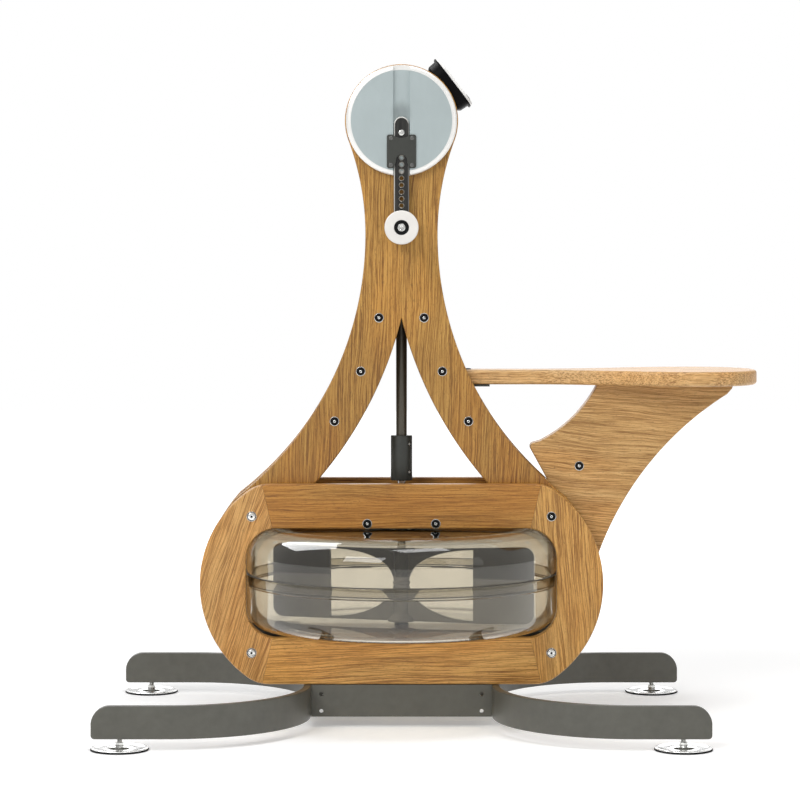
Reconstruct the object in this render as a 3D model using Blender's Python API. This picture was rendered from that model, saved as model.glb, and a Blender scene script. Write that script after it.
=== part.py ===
"""Water grinder ergometer: two hand cranks turn a paddle in a round water tank.

Units are metres, +Z is up. The cranks turn about Y, the seat is towards +X and the
front crank is towards -Y. The machine stands on four levelling feet at z = 0.
Depths that are the same at the front and at the rear are given from the middle plane.
"""
import math

import bmesh
import bpy
from mathutils import Matrix, Vector

# Clearances
fit_gap = 0.0003            # between faces that touch on the real machine
turning_gap = 0.0005        # around a piece that turns

# Oak boards
board_thickness = 0.024
board_edge_round = 0.003
upright_gap = 0.068         # clear depth between the two uprights

# Head and cranks
crank_height = 0.9915
head_radius = 0.093
axle_radius = 0.0125
axle_seat = 0.004           # how far the axle goes into each disc
disc_radius = 0.091
disc_thickness = 0.016
disc_running_gap = 0.002
disc_rim_width = 0.008
disc_rim_drop = 0.004
channel_width = 0.0275
channel_depth = 0.009
arm_width = 0.025
arm_thickness = 0.008
arm_top_above_axle = 0.006
crank_length = 0.176
setting_pitch = 0.0112
setting_hole_radius = 0.0034
setting_holes = 8
first_setting_hole = 0.0612
clamp_width = 0.048
clamp_top = 0.0234          # below the axle
clamp_bottom = 0.0784
clamp_thickness = 0.004
clamp_corner = 0.0035
clamp_hollow = 0.0055       # depth of the hollow in its top edge
clamp_arch_radius = 0.0088
clamp_arch_height = 0.022

# Grips
grip_length = 0.155
grip_flange_radius = 0.027
grip_body_radius = 0.0175
grip_flange_thickness = 0.007
grip_pin_radius = 0.006
grip_bush_radius = 0.0117
grip_shoulder = 0.004

# Crank bearings, one flanged unit set flush into each upright
unit_flange_radius = 0.040
unit_flange_thickness = 0.005
unit_sleeve_radius = 0.029
unit_sleeve_length = 0.017
unit_steps = 24

# Bevel gears
gear_module = 0.003
crown_teeth = 30
pinion_teeth = 15
gear_face_width = 0.012
pressure_angle = 20.0       # degrees
tooth_backlash = 0.00036
crown_hub_radius = 0.022

# Drive train down to the tank
drive_shaft_radius = 0.009
coupling_radius = 0.018
coupling_lift = 0.0005      # above the frames
coupling_length = 0.0745
tank_shaft_radius = 0.007
bearing_block_drop = 0.069  # top of the block, below the crank axle
bearing_block_height = 0.022
bearing_block_width = 0.060

# Neck and legs of the uprights
waist_half_width = 0.0583
leg_width = 0.0717
foot_round = 0.140          # radius of the leg's foot, centred near the frame's round end
foot_set_in = 0.0022
foot_set_down = 0.0367
foot_rise = 0.004           # gap from the top of the window to the foot's end
spacer_rib_width = 0.034
spacer_rib_start = 9.0      # degrees below the level of the arc's centre
spacer_rib_end = 37.0
cover_inset = 0.003
cover_thickness = 0.002
cover_drop = 0.1215         # lower end of the cover, below the axle

# Tank frames
bottom_rail_width = 0.0755
top_rail_width = 0.0725
end_board_width = 0.076
window_corner = 0.050
window_floor_gap = 0.007    # between the window's edges and the tank
window_top_gap = 0.004
window_side_gap = 0.0047
joint_past_corner = 0.007   # a glue joint starts here at the window
joint_slant = 0.017         # and ends this much further out
rod_radius = 0.010
rod_past_end_centre = 0.0785
rod_above_window = 0.020

# Tank
tank_radius = 0.2515
tank_height = 0.168
tank_wall = 0.004
tank_edge_radius = 0.045
seam_reach = 0.0045
seam_height = 0.016         # the lower half ends in a wider rim that the upper half stands in
seam_drop = 0.0745          # top of that rim, below the tank's top
rim_gap = 0.0005
gasket_thickness = 0.0014
collar_radius = 0.023
tank_steps = 40
hanger_length = 0.140
hanger_thickness = 0.012
hanger_gap = 0.002
support_width = 0.086
support_height = 0.0537

# Paddle
paddle_side_gap = 0.0215    # between the paddle and the inside of the tank
paddle_floor_gap = 0.007
paddle_top_gap = 0.024
paddle_thickness = 0.006
paddle_corner = 0.018
paddle_rib = 0.004
blade_width = 0.102
hub_waist = 0.0125
paddle_rest_turn = -17.0    # degrees, right blade towards the front

# Base
leg_reach = 0.485
leg_half_spread = 0.308
leg_inner_reach = 0.148
leg_bend_radius = 0.218
bar_thickness = 0.012
bar_height = 0.0522
bar_bottom = 0.017
bar_top_round = 0.030
bar_bottom_round = 0.006
screw_room = 0.006          # free thread above the foot's stud
plate_thickness = 0.005
plate_flange = 0.032
plate_proud = 0.0007        # past the face of the tank frame
plate_hole_radius = 0.0035
plate_hole_reach = 0.131
plate_hole_heights = (0.026, 0.054)

# Levelling feet
foot_inset = 0.045
foot_pad_radius = 0.046
foot_pad_thickness = 0.004
foot_stud_radius = 0.004
foot_nut_radius = 0.0068
foot_stud_top = 0.050

# Seat
seat_top = 0.5810
seat_nose_gap = 0.0026      # between the seat's nose and the leg spacer
seat_end = 0.589
seat_nose_half_width = 0.030
seat_half_width = 0.110
seat_flare_start = 0.220
seat_flare_end = 0.480
gusset_thickness = 0.040
gusset_end_inset = 0.040    # from the seat's end
gusset_shoulder = 0.0795    # its left end under the seat, past the corner spacer
gusset_nose_back = 0.032    # its nose, from the corner spacer
gusset_nose_lift = 0.131    # above the window
gusset_tail_inset = 0.004
gusset_tail_drop = 0.048
gusset_arc_radius = 0.520
gusset_neck_radius = 0.165
bracket_thickness = 0.003
bracket_length = 0.050
bracket_drop = 0.026
bracket_gap = 0.0006

# Monitor
monitor_angle = 37.4        # degrees above level
monitor_half_depth = 0.048
monitor_corner = 0.026
monitor_face_distance = 0.107
monitor_flange_half = 0.0487
monitor_flange_thickness = 0.0022
monitor_body_half = 0.045
monitor_back_half = 0.039
monitor_shoulder = 0.091
panel_inset = 0.0015
panel_thickness = 0.004
button_radius = 0.006
button_reach = 0.0015
button_travel = 0.0015
button_row = 0.034
button_spread = 0.022

# Places worked out from the sizes above
upright_inner = upright_gap / 2
upright_outer = upright_inner + board_thickness
frame_inner = upright_outer + fit_gap
frame_outer = frame_inner + board_thickness
plate_depth = frame_outer + plate_proud
frame_bottom = bar_bottom + bar_height + fit_gap
window_bottom = frame_bottom + bottom_rail_width
tank_bottom = window_bottom + window_floor_gap
tank_top = tank_bottom + tank_height
window_top = tank_top + window_top_gap
frame_top = window_top + top_rail_width
window_half_length = math.sqrt((tank_radius + seam_reach) ** 2 - frame_inner ** 2) + window_side_gap
frame_half_length = window_half_length + end_board_width
frame_middle = (frame_bottom + frame_top) / 2
frame_end_radius = (frame_top - frame_bottom) / 2
frame_end_x = frame_half_length - frame_end_radius
joint_inner = window_half_length - window_corner + joint_past_corner
joint_outer = joint_inner + joint_slant
corner_rod_reach = frame_end_x + rod_past_end_centre
corner_rod_height = window_top + rod_above_window
coupling_bottom = frame_top + coupling_lift
paddle_radius = tank_radius - tank_wall - paddle_side_gap
paddle_bottom = tank_bottom + tank_wall + paddle_floor_gap
paddle_top = tank_top - tank_wall - paddle_top_gap
blade_inner = paddle_radius - blade_width
disc_back = upright_outer + disc_running_gap
disc_front = disc_back + disc_thickness
channel_floor = disc_front - channel_depth
arm_back = channel_floor + fit_gap
arm_front = arm_back + arm_thickness
clamp_back = disc_front + fit_gap
clamp_front = clamp_back + clamp_thickness
grip_start = clamp_front + 0.004
foot_centre = (frame_end_x - foot_set_in, window_top - foot_set_down)
seam_top = tank_top - seam_drop
seat_bottom = seat_top - board_thickness
machine_shift = -(seat_end - leg_reach - foot_pad_radius + foot_inset) / 2


def neck_arc(radius):
    """Centre of the leg's outer arc, which touches the head's circle and leaves the waist."""
    x = waist_half_width + radius
    return (x, crank_height - math.sqrt((radius + head_radius) ** 2 - x ** 2))


def neck_radius():
    """Halves a range until the outer arc also touches the round foot, so the edge has no kink."""
    low, high = 0.05, 5.0
    for _ in range(60):
        radius = (low + high) / 2
        if math.dist(neck_arc(radius), foot_centre) > radius + foot_round:
            low = radius
        else:
            high = radius
    return radius


neck_arc_radius = neck_radius()
arc_centre_x, arc_centre_z = neck_arc(neck_arc_radius)
foot_turn = math.degrees(math.asin((arc_centre_z - foot_centre[1]) / (neck_arc_radius + foot_round)))


def clear_scene():
    for item in list(bpy.data.objects):
        bpy.data.objects.remove(item, do_unlink=True)


def finish_look(name, colour, roughness, metallic=0.0, alpha=1.0):
    """A plain Principled material, made once for each name."""
    look = bpy.data.materials.get(name)
    if look is None:
        look = bpy.data.materials.new(name)
        look.use_nodes = True
        shader = look.node_tree.nodes["Principled BSDF"]
        shader.inputs["Base Color"].default_value = (*colour, 1.0)
        shader.inputs["Roughness"].default_value = roughness
        shader.inputs["Metallic"].default_value = metallic
        shader.inputs["Alpha"].default_value = alpha
    return look


def oak():
    return finish_look("oak", (0.48, 0.28, 0.12), 0.5)


def painted_steel():
    return finish_look("grey_painted_steel", (0.12, 0.12, 0.105), 0.45, 0.3)


def turned_aluminium():
    return finish_look("turned_aluminium", (0.55, 0.62, 0.64), 0.3, 1.0)


def dark_steel():
    return finish_look("dark_steel", (0.07, 0.07, 0.065), 0.4, 0.7)


def bright_steel():
    return finish_look("bright_steel", (0.7, 0.7, 0.68), 0.2, 1.0)


def clear_plastic():
    return finish_look("smoked_clear_plastic", (0.42, 0.38, 0.32), 0.08, 0.0, 0.35)


def dark_plastic():
    return finish_look("dark_plastic", (0.05, 0.05, 0.052), 0.45)


def white_plastic():
    return finish_look("white_plastic", (0.85, 0.84, 0.8), 0.35)


def black_rubber():
    return finish_look("black_rubber", (0.02, 0.02, 0.02), 0.7)


def pivot(name, place, parent=None, turn=(0.0, 0.0, 0.0)):
    """An empty on a joint's axis. Its children are modelled from it."""
    empty = bpy.data.objects.new(name, None)
    bpy.context.scene.collection.objects.link(empty)
    empty.location = place
    empty.rotation_euler = turn
    empty.parent = parent
    return empty


def add_piece(name, shape, look, parent, place=(0.0, 0.0, 0.0), turn=(0.0, 0.0, 0.0), smooth=True):
    """Turns a bmesh into a named object with outward faces and its own material."""
    bmesh.ops.recalc_face_normals(shape, faces=shape.faces)
    if shape.calc_volume(signed=True) < 0:
        bmesh.ops.reverse_faces(shape, faces=shape.faces)
    mesh = bpy.data.meshes.new(name)
    shape.to_mesh(mesh)
    shape.free()
    if smooth:
        mesh.shade_smooth()
        mesh.set_sharp_from_angle(angle=math.radians(30))
    if look is not None:
        mesh.materials.append(look)
    piece = bpy.data.objects.new(name, mesh)
    bpy.context.scene.collection.objects.link(piece)
    piece.parent = parent
    piece.location = place
    piece.rotation_euler = turn
    return piece


def use_tool(piece, tool, operation="DIFFERENCE"):
    """Cuts, joins or trims a piece with a hidden tool shape."""
    modifier = piece.modifiers.new(tool.name, "BOOLEAN")
    modifier.operation = operation
    modifier.solver = "EXACT"
    modifier.object = tool
    tool.hide_render = True
    tool.display_type = "WIRE"
    return piece


def arc(centre, radius, start, end, steps):
    """Points along an arc from one angle to another, in degrees."""
    points = []
    for step in range(steps + 1):
        angle = math.radians(start + (end - start) * step / steps)
        points.append((centre[0] + radius * math.cos(angle), centre[1] + radius * math.sin(angle)))
    return points


def direction(start, end):
    """The angle of the line from one point to another, in degrees."""
    return math.degrees(math.atan2(end[1] - start[1], end[0] - start[0]))


def circle_crossing(first, first_radius, second, second_radius, side):
    """Where two circles cross, on the left (1) or right (-1) of the line between their centres."""
    gap = math.dist(first, second)
    along = (first_radius ** 2 - second_radius ** 2 + gap ** 2) / (2 * gap)
    across = side * math.sqrt(first_radius ** 2 - along ** 2)
    ux = (second[0] - first[0]) / gap
    uz = (second[1] - first[1]) / gap
    return (first[0] + along * ux - across * uz, first[1] + along * uz + across * ux)


def arc_between(start, end, radius, steps, side):
    """An arc through two points. Its centre is on the left (1) or right (-1) of start to end."""
    centre = circle_crossing(start, radius, end, radius, side)
    first = direction(centre, start)
    last = direction(centre, end)
    while last - first > 180:
        last -= 360
    while last - first < -180:
        last += 360
    return arc(centre, radius, first, last, steps)


def mirrored(points):
    """The same outline on the other side of x = 0, in the same winding."""
    return [(-x, z) for x, z in reversed(points)]


def prism(outline, low, high, along="Y", round_over=0.0, plain_edges=(), segments=1):
    """An outline extruded from low to high. Its rims are rounded except at the plain edges."""
    shape = bmesh.new()
    axes = {"X": (1, 2, 0), "Y": (0, 2, 1), "Z": (0, 1, 2)}[along]
    rows = []
    for level in (low, high):
        row = []
        for first, second in outline:
            place = [0.0, 0.0, 0.0]
            place[axes[0]] = first
            place[axes[1]] = second
            place[axes[2]] = level
            row.append(shape.verts.new(place))
        rows.append(row)
    count = len(outline)
    for index in range(count):
        following = (index + 1) % count
        shape.faces.new((rows[0][index], rows[0][following], rows[1][following], rows[1][index]))
    for row in rows:
        shape.faces.new(row)
    bmesh.ops.recalc_face_normals(shape, faces=shape.faces)
    if round_over > 0:
        rims = []
        for row in rows:
            for index in range(count):
                if index not in plain_edges:
                    rims.append(shape.edges.get((row[index], row[(index + 1) % count])))
        bmesh.ops.bevel(shape, geom=rims, offset=round_over, segments=segments, affect="EDGES", profile=0.5)
    return shape


def turned(profile, steps, along="Z"):
    """A closed outline of (radius, height) points turned round an axis with the spin operator."""
    shape = bmesh.new()
    verts = [shape.verts.new((radius, 0.0, height)) for radius, height in profile]
    edges = []
    open_ends = profile[0][0] < 1e-9 and profile[-1][0] < 1e-9
    for index in range(len(verts) - (1 if open_ends else 0)):
        edges.append(shape.edges.new((verts[index], verts[(index + 1) % len(verts)])))
    bmesh.ops.spin(
        shape, geom=verts + edges, axis=(0, 0, 1), cent=(0, 0, 0), steps=steps,
        angle=2 * math.pi, use_merge=True,
    )
    bmesh.ops.remove_doubles(shape, verts=shape.verts, dist=1e-6)
    if along == "Y":
        bmesh.ops.rotate(shape, verts=shape.verts, cent=(0, 0, 0), matrix=Matrix.Rotation(-math.pi / 2, 3, "X"))
    return shape


def rod(radius, low, high, steps, along="Z"):
    return turned([(0.0, low), (radius, low), (radius, high), (0.0, high)], steps, along)


def pegs(places, radius, low, high, steps, along="Y"):
    """Several equal pegs in one shape, used as a cutter for a row or pattern of holes."""
    shape = bmesh.new()
    mesh = bpy.data.meshes.new("peg")
    for first, second in places:
        peg = prism(arc((first, second), radius, 0, 360 - 360 / steps, steps - 1), low, high, along)
        peg.to_mesh(mesh)
        peg.free()
        shape.from_mesh(mesh)
    bpy.data.meshes.remove(mesh)
    return shape


def depth_range(side, near, far):
    """Low and high y of a piece that lies between two depths on one side."""
    return min(side * near, side * far), max(side * near, side * far)


def upright_outline(inset=0.0, bottom=None):
    """Right half of the head and leg, from the top of the head down to the foot."""
    centre = (arc_centre_x, arc_centre_z)
    head = (0.0, crank_height)
    meeting = direction(head, centre)
    points = arc(head, head_radius - inset, 90, meeting, 9)
    start = 180 + meeting
    end = 180 + foot_turn
    steps = 12
    if bottom is not None:
        end = 180 - math.degrees(math.asin((bottom - arc_centre_z) / (neck_arc_radius + inset)))
        steps = 4
    points += arc(centre, neck_arc_radius + inset, start, end, steps)[1:]
    return points


def build_uprights(machine):
    centre = (arc_centre_x, arc_centre_z)
    outer = upright_outline()
    foot_bottom = window_top + foot_rise
    foot_low_angle = math.degrees(math.asin((foot_bottom - foot_centre[1]) / foot_round))
    foot = arc(foot_centre, foot_round, foot_turn, foot_low_angle, 3)[1:]
    inner_radius = neck_arc_radius + leg_width
    inner_low = 180 + math.degrees(math.asin((arc_centre_z - foot_bottom) / inner_radius))
    inner_apex = 180 + math.degrees(math.acos(arc_centre_x / inner_radius))
    inner = arc(centre, inner_radius, inner_low, inner_apex, 10)
    right = outer + foot + inner
    outline = right[:-1] + [(0.0, inner[-1][1])] + mirrored(right[1:-1])
    for side, name in ((-1, "upright_front"), (1, "upright_rear")):
        low, high = depth_range(side, upright_inner, upright_outer)
        upright = add_piece(name, prism(outline, low, high, round_over=board_edge_round), oak(), machine)
        seat_low = upright_outer - unit_flange_thickness - fit_gap
        bore = [
            (0.0, upright_inner - 0.01),
            (unit_sleeve_radius + fit_gap, upright_inner - 0.01),
            (unit_sleeve_radius + fit_gap, seat_low),
            (unit_flange_radius + fit_gap, seat_low),
            (unit_flange_radius + fit_gap, upright_outer + 0.01),
            (0.0, upright_outer + 0.01),
        ]
        bore = [(radius, side * depth) for radius, depth in bore]
        place = (0, 0, crank_height)
        use_tool(upright, add_piece("cut_bearing_seat_" + name, turned(bore, unit_steps, "Y"), None, machine, place))


def rib_outline():
    """The curved rib that holds the two uprights apart, along the middle of the right leg."""
    middle = neck_arc_radius + leg_width / 2
    centre = (arc_centre_x, arc_centre_z)
    near = arc(centre, middle - spacer_rib_width / 2, 180 + spacer_rib_start, 180 + spacer_rib_end, 8)
    far = arc(centre, middle + spacer_rib_width / 2, 180 + spacer_rib_end, 180 + spacer_rib_start, 8)
    return near + far


def build_spacers(machine):
    reach = upright_inner - fit_gap
    right = rib_outline()
    add_piece("leg_spacer_right", prism(right, -reach, reach), oak(), machine)
    add_piece("leg_spacer_left", prism(mirrored(right), -reach, reach), oak(), machine)
    for side, name in ((-1, "corner_spacer_left"), (1, "corner_spacer_right")):
        place = (side * corner_rod_reach, 0, corner_rod_height)
        add_piece(name, rod(rod_radius, -reach, reach, 16, "Y"), bright_steel(), machine, place)


def joint_angle(centre_x, radius, reach):
    return math.degrees(math.acos((reach - centre_x) / radius))


def build_frames(machine):
    """Each tank frame is a ring glued from two level rails and two upright end boards."""
    half = fit_gap / 2
    outer_top = (frame_end_x, frame_middle)
    corner_x = window_half_length - window_corner
    upper_corner = (corner_x, window_top - window_corner)
    lower_corner = (corner_x, window_bottom + window_corner)
    end_outer = joint_angle(frame_end_x, frame_end_radius, joint_outer + half)
    end_inner = joint_angle(corner_x, window_corner, joint_inner + half)
    end = arc(outer_top, frame_end_radius, end_outer, -end_outer, 12)
    end += arc(lower_corner, window_corner, -end_inner, 0, 4)
    end += arc(upper_corner, window_corner, 0, end_inner, 4)
    rail_outer = joint_angle(frame_end_x, frame_end_radius, joint_outer - half)
    rail_inner = joint_angle(corner_x, window_corner, joint_inner - half)
    right = arc(outer_top, frame_end_radius, 90, rail_outer, 3)
    right += arc(upper_corner, window_corner, rail_inner, 90, 1)
    top = right + mirrored(right)
    lower = arc(outer_top, frame_end_radius, -90, -rail_outer, 3)
    lower += arc(lower_corner, window_corner, -rail_inner, -90, 1)
    bottom = lower + mirrored(lower)
    for side, place in ((-1, "front"), (1, "rear")):
        low, high = depth_range(side, frame_inner, frame_outer)
        boards = (
            ("top_rail", top),
            ("bottom_rail", bottom),
            ("right_end", end),
            ("left_end", mirrored(end)),
        )
        for name, outline in boards:
            plain = joint_edges(outline)
            shape = prism(outline, low, high, round_over=board_edge_round, plain_edges=plain)
            add_piece(place + "_frame_" + name, shape, oak(), machine)


def joint_edges(outline):
    """The numbers of the edges that run along a slanted glue joint."""
    found = []
    for index, (x, z) in enumerate(outline):
        next_x, next_z = outline[(index + 1) % len(outline)]
        reaches = sorted((abs(x), abs(next_x)))
        if abs(reaches[0] - joint_inner) < 0.001 and abs(reaches[1] - joint_outer) < 0.001:
            found.append(index)
    return found


def build_tank(machine):
    flat = tank_radius - tank_edge_radius
    inner_round = tank_edge_radius - tank_wall
    inside = tank_radius - tank_wall
    lip = tank_radius + seam_reach
    shelf = seam_top - seam_height
    gasket_low = shelf + fit_gap
    gasket_high = gasket_low + gasket_thickness
    upper_end = gasket_high + fit_gap
    hole = tank_shaft_radius + turning_gap
    collar_top = tank_top + collar_height()
    round_top = tank_top - tank_edge_radius
    top = [(hole, tank_top - tank_wall), (hole, collar_top), (collar_radius, collar_top), (collar_radius, tank_top)]
    top += arc((flat, round_top), tank_edge_radius, 90, 0, 5)
    top += [(tank_radius, upper_end), (inside, upper_end)]
    top += arc((flat, round_top), inner_round, 0, 90, 3)
    add_piece("tank_top", turned(top, tank_steps), clear_plastic(), machine)
    round_bottom = tank_bottom + tank_edge_radius
    bottom = [(0.0, tank_bottom)]
    bottom += arc((flat, round_bottom), tank_edge_radius, -90, 0, 5)
    bottom += [(tank_radius, shelf - 0.004), (lip, shelf - 0.002), (lip, seam_top)]
    bottom += [(tank_radius + rim_gap, seam_top), (tank_radius + rim_gap, shelf), (inside, shelf)]
    bottom += arc((flat, round_bottom), inner_round, 0, -90, 3)
    bottom += [(0.0, tank_bottom + tank_wall)]
    add_piece("tank_bottom", turned(bottom, tank_steps), clear_plastic(), machine)
    ring = [(inside, gasket_low), (tank_radius, gasket_low), (tank_radius, gasket_high), (inside, gasket_high)]
    add_piece("tank_gasket", turned(ring, tank_steps), black_rubber(), machine)


def collar_height():
    """The collar on the tank fills the space up to the hanger."""
    return hanger_bottom() - fit_gap - tank_top


def hanger_bottom():
    return window_top + hanger_gap


def build_tank_mounts(machine):
    reach = frame_inner - fit_gap
    half = hanger_length / 2
    low = hanger_bottom()
    waist = collar_radius + 0.012
    outline = [(-half, -reach), (half, -reach)] + arc((half + 0.012, 0), 0.040, 235, 125, 6)
    outline += [(half, reach), (-half, reach)] + arc((-half - 0.012, 0), 0.040, 55, -55, 6)
    hanger = add_piece(
        "tank_hanger", prism(outline, low, low + hanger_thickness, "Z"), turned_aluminium(), machine)
    bore = rod(tank_shaft_radius + turning_gap, low - 0.01, low + hanger_thickness + 0.01, 16)
    use_tool(hanger, add_piece("cut_hanger_bore", bore, None, machine))
    for side, name in ((-1, "tank_support_left"), (1, "tank_support_right")):
        outer = window_half_length + 0.003
        left, right = depth_range(side, outer - support_width, outer)
        top = tank_bottom - fit_gap
        low = top - support_height
        block = [(left, low), (right, low), (right, top), (left, top)]
        add_piece(name, prism(block, -reach, reach, round_over=0.002), dark_plastic(), machine)
    floor = tank_bottom + tank_wall + fit_gap
    rim = paddle_bottom - 0.001
    cup = [(0.0, floor), (0.012, floor), (0.0105, rim), (tank_shaft_radius + turning_gap, rim)]
    cup += [(tank_shaft_radius + turning_gap, floor + 0.002), (0.0, floor + 0.002)]
    add_piece("tank_floor_bearing", turned(cup, 20), dark_plastic(), machine)


def build_drive(machine):
    """The crown gear turns with the cranks. The pinion, shafts and paddle turn about Z."""
    shaft = pivot("shaft_axis", (0.0, 0.0, 0.0), machine)
    split = coupling_bottom + coupling_length / 2
    top = crank_height - gear_cone(pinion_teeth, crown_teeth)[1] * 0.66
    add_piece("drive_shaft", rod(drive_shaft_radius, split + fit_gap, top, 20), dark_steel(), shaft)
    floor = tank_bottom + tank_wall + 0.003
    add_piece("tank_shaft", rod(tank_shaft_radius, floor, split - fit_gap, 16), bright_steel(), shaft)
    coupling_top = coupling_bottom + coupling_length
    edge = 0.0012
    upper_bore = drive_shaft_radius + fit_gap
    lower_bore = tank_shaft_radius + fit_gap
    sleeve = [
        (lower_bore, coupling_bottom), (coupling_radius - edge, coupling_bottom),
        (coupling_radius, coupling_bottom + edge), (coupling_radius, coupling_top - edge),
        (coupling_radius - edge, coupling_top), (upper_bore, coupling_top),
        (upper_bore, split), (lower_bore, split),
    ]
    add_piece("shaft_coupling", turned(sleeve, 24), painted_steel(), shaft)
    build_paddle(shaft)
    build_pinion(shaft)


def window_outline():
    """One window of the paddle, right side: half an ellipse, straight at the blade."""
    middle = (paddle_bottom + paddle_top) / 2
    rise = (paddle_top - paddle_bottom) / 2 - paddle_rib
    points = []
    for x, z in arc((0.0, 0.0), 1.0, 90, 270, 16):
        points.append((blade_inner + (blade_inner - hub_waist) * x, middle + rise * z))
    return points


def build_paddle(shaft):
    half = paddle_thickness / 2
    low = paddle_bottom
    high = paddle_top
    corner = paddle_corner
    outline = arc((paddle_radius - corner, low + corner), corner, -90, 0, 4)
    outline += arc((paddle_radius - corner, high - corner), corner, 0, 90, 4)
    outline += mirrored(outline)
    turn = (0.0, 0.0, math.radians(paddle_rest_turn))
    paddle = add_piece("paddle", prism(outline, -half, half), dark_plastic(), shaft, turn=turn)
    window = window_outline()
    for name, points in (("cut_window_right", window), ("cut_window_left", mirrored(window))):
        tool = add_piece(name, prism(points, -half - 0.01, half + 0.01), None, shaft, turn=turn)
        use_tool(paddle, tool)
    middle = (low + high) / 2
    bead = 0.003
    hub = [
        (0.0, low - 0.0005), (collar_radius, low - 0.0005), (collar_radius, low + bead),
        (hub_waist, low + 0.012), (hub_waist, middle - bead), (hub_waist + bead, middle),
        (hub_waist, middle + bead), (hub_waist, high - 0.012), (collar_radius, high - bead),
        (collar_radius, high + 0.0005), (0.0, high + 0.0005),
    ]
    use_tool(paddle, add_piece("join_paddle_hub", turned(hub, 20), None, shaft), "UNION")
    bore = rod(tank_shaft_radius + fit_gap, low - 0.02, high + 0.02, 16)
    use_tool(paddle, add_piece("cut_paddle_bore", bore, None, shaft))


def gear_cone(teeth, mate_teeth):
    """Pitch radius, distance of the pitch circle from the cones' meeting point, and cone angle."""
    radius = gear_module * teeth / 2
    angle = math.atan2(teeth, mate_teeth)
    return radius, radius / math.tan(angle), angle


def involute(angle):
    return math.tan(angle) - angle


def tooth_section(teeth, mate_teeth):
    """Half a tooth on the back cone, from root to tip: (half angle, radius, height) about the gear's axis.

    Radii run along the back cone. The flank is the involute of the equivalent spur gear.
    """
    radius, height, cone = gear_cone(teeth, mate_teeth)
    slant = radius / math.cos(cone)
    base = slant * math.cos(math.radians(pressure_angle))
    pitch_involute = involute(math.radians(pressure_angle))
    half_pitch_angle = gear_module * math.pi / 4 / slant - tooth_backlash / 2 / slant
    apex_height = height / math.cos(cone) ** 2
    section = []
    for rho in (slant - 1.25 * gear_module, slant - 0.3 * gear_module, slant + 0.35 * gear_module, slant + gear_module):
        pressure = math.acos(min(1.0, base / max(rho, base)))
        half = half_pitch_angle + pitch_involute - involute(pressure)
        section.append((half / math.cos(cone), rho * math.cos(cone), apex_height - rho * math.sin(cone)))
    return section


def bevel_gear(teeth, mate_teeth, rim_back, phase):
    """A bevel gear with its cones' meeting point at the origin and its teeth towards +Z of its own axis.

    Every tooth point at the outer end has a twin nearer the meeting point, scaled towards it.
    """
    radius, height, cone = gear_cone(teeth, mate_teeth)
    cone_distance = math.hypot(radius, height)
    shrink = 1 - gear_face_width / cone_distance
    section = tooth_section(teeth, mate_teeth)
    shape = bmesh.new()
    pitch = 2 * math.pi / teeth

    def place(turn, ring, level, scale=1.0):
        return shape.verts.new((scale * ring * math.cos(turn), scale * ring * math.sin(turn), scale * level))

    outer, inner, back, front = [], [], [], []
    root_radius, root_level = section[0][1], section[0][2]
    for tooth in range(teeth):
        middle = tooth * pitch + phase
        turns = [(middle - half, ring, level) for half, ring, level in section]
        turns += [(middle + half, ring, level) for half, ring, level in reversed(section)]
        outer.append([place(*item) for item in turns])
        inner.append([place(*item, scale=shrink) for item in turns])
        for turn in (turns[0][0], turns[-1][0]):
            back.append(place(turn, root_radius - 0.0005, rim_back))
            front.append(place(turn, root_radius * shrink - 0.0015, root_level * shrink))
    for tooth in range(teeth):
        following = (tooth + 1) % teeth
        near, far = outer[tooth], inner[tooth]
        for index in range(len(near) - 1):
            shape.faces.new((near[index], near[index + 1], far[index + 1], far[index]))
        shape.faces.new((near[-1], outer[following][0], inner[following][0], far[-1]))
        shape.faces.new(near)
        shape.faces.new(far)
        left, right, after = 2 * tooth, 2 * tooth + 1, (2 * tooth + 2) % (2 * teeth)
        for rim, ends in ((back, outer), (front, inner)):
            shape.faces.new((rim[left], rim[right], ends[tooth][-1], ends[tooth][0]))
            shape.faces.new((rim[right], rim[after], ends[following][0], ends[tooth][-1]))
    shape.faces.new(back)
    shape.faces.new(front)
    return shape


def build_pinion(shaft):
    """The small gear on the shaft. A gap between two of its teeth faces the crown gear."""
    radius, height, cone = gear_cone(pinion_teeth, crown_teeth)
    rim = height + 0.004
    shape = bevel_gear(pinion_teeth, crown_teeth, rim, math.pi / 2 + math.pi / pinion_teeth)
    bmesh.ops.transform(shape, matrix=Matrix.Scale(-1, 4, (0, 0, 1)), verts=shape.verts)
    pinion = add_piece("drive_pinion", shape, dark_steel(), shaft, (0, 0, crank_height))
    hub_top = crank_height - rim + 0.001
    hub_bottom = crank_height - bearing_block_drop + turning_gap
    hub = rod(0.015, hub_bottom, hub_top, 20)
    use_tool(pinion, add_piece("join_pinion_hub", hub, None, shaft), "UNION")
    bore = rod(drive_shaft_radius + fit_gap, hub_bottom - 0.01, crank_height - 0.02, 16)
    use_tool(pinion, add_piece("cut_pinion_bore", bore, None, shaft))


def build_shaft_bearing(machine):
    """A block across the neck carries the top of the drive shaft."""
    top = crank_height - bearing_block_drop
    low = top - bearing_block_height
    reach = upright_inner - fit_gap
    half = bearing_block_width / 2
    outline = [(-half, -reach), (half, -reach), (half, -reach + 0.012), (half - 0.012, -reach + 0.018)]
    outline += [(half - 0.012, reach - 0.018), (half, reach - 0.012), (half, reach)]
    outline += [(-half, reach), (-half, reach - 0.012), (-half + 0.012, reach - 0.018)]
    outline += [(-half + 0.012, -reach + 0.018), (-half, -reach + 0.012)]
    block = add_piece("shaft_bearing", prism(outline, low, top, "Z"), turned_aluminium(), machine)
    bore = rod(drive_shaft_radius + turning_gap, low - 0.01, top + 0.01, 20)
    use_tool(block, add_piece("cut_shaft_bearing_bore", bore, None, machine))


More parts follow.
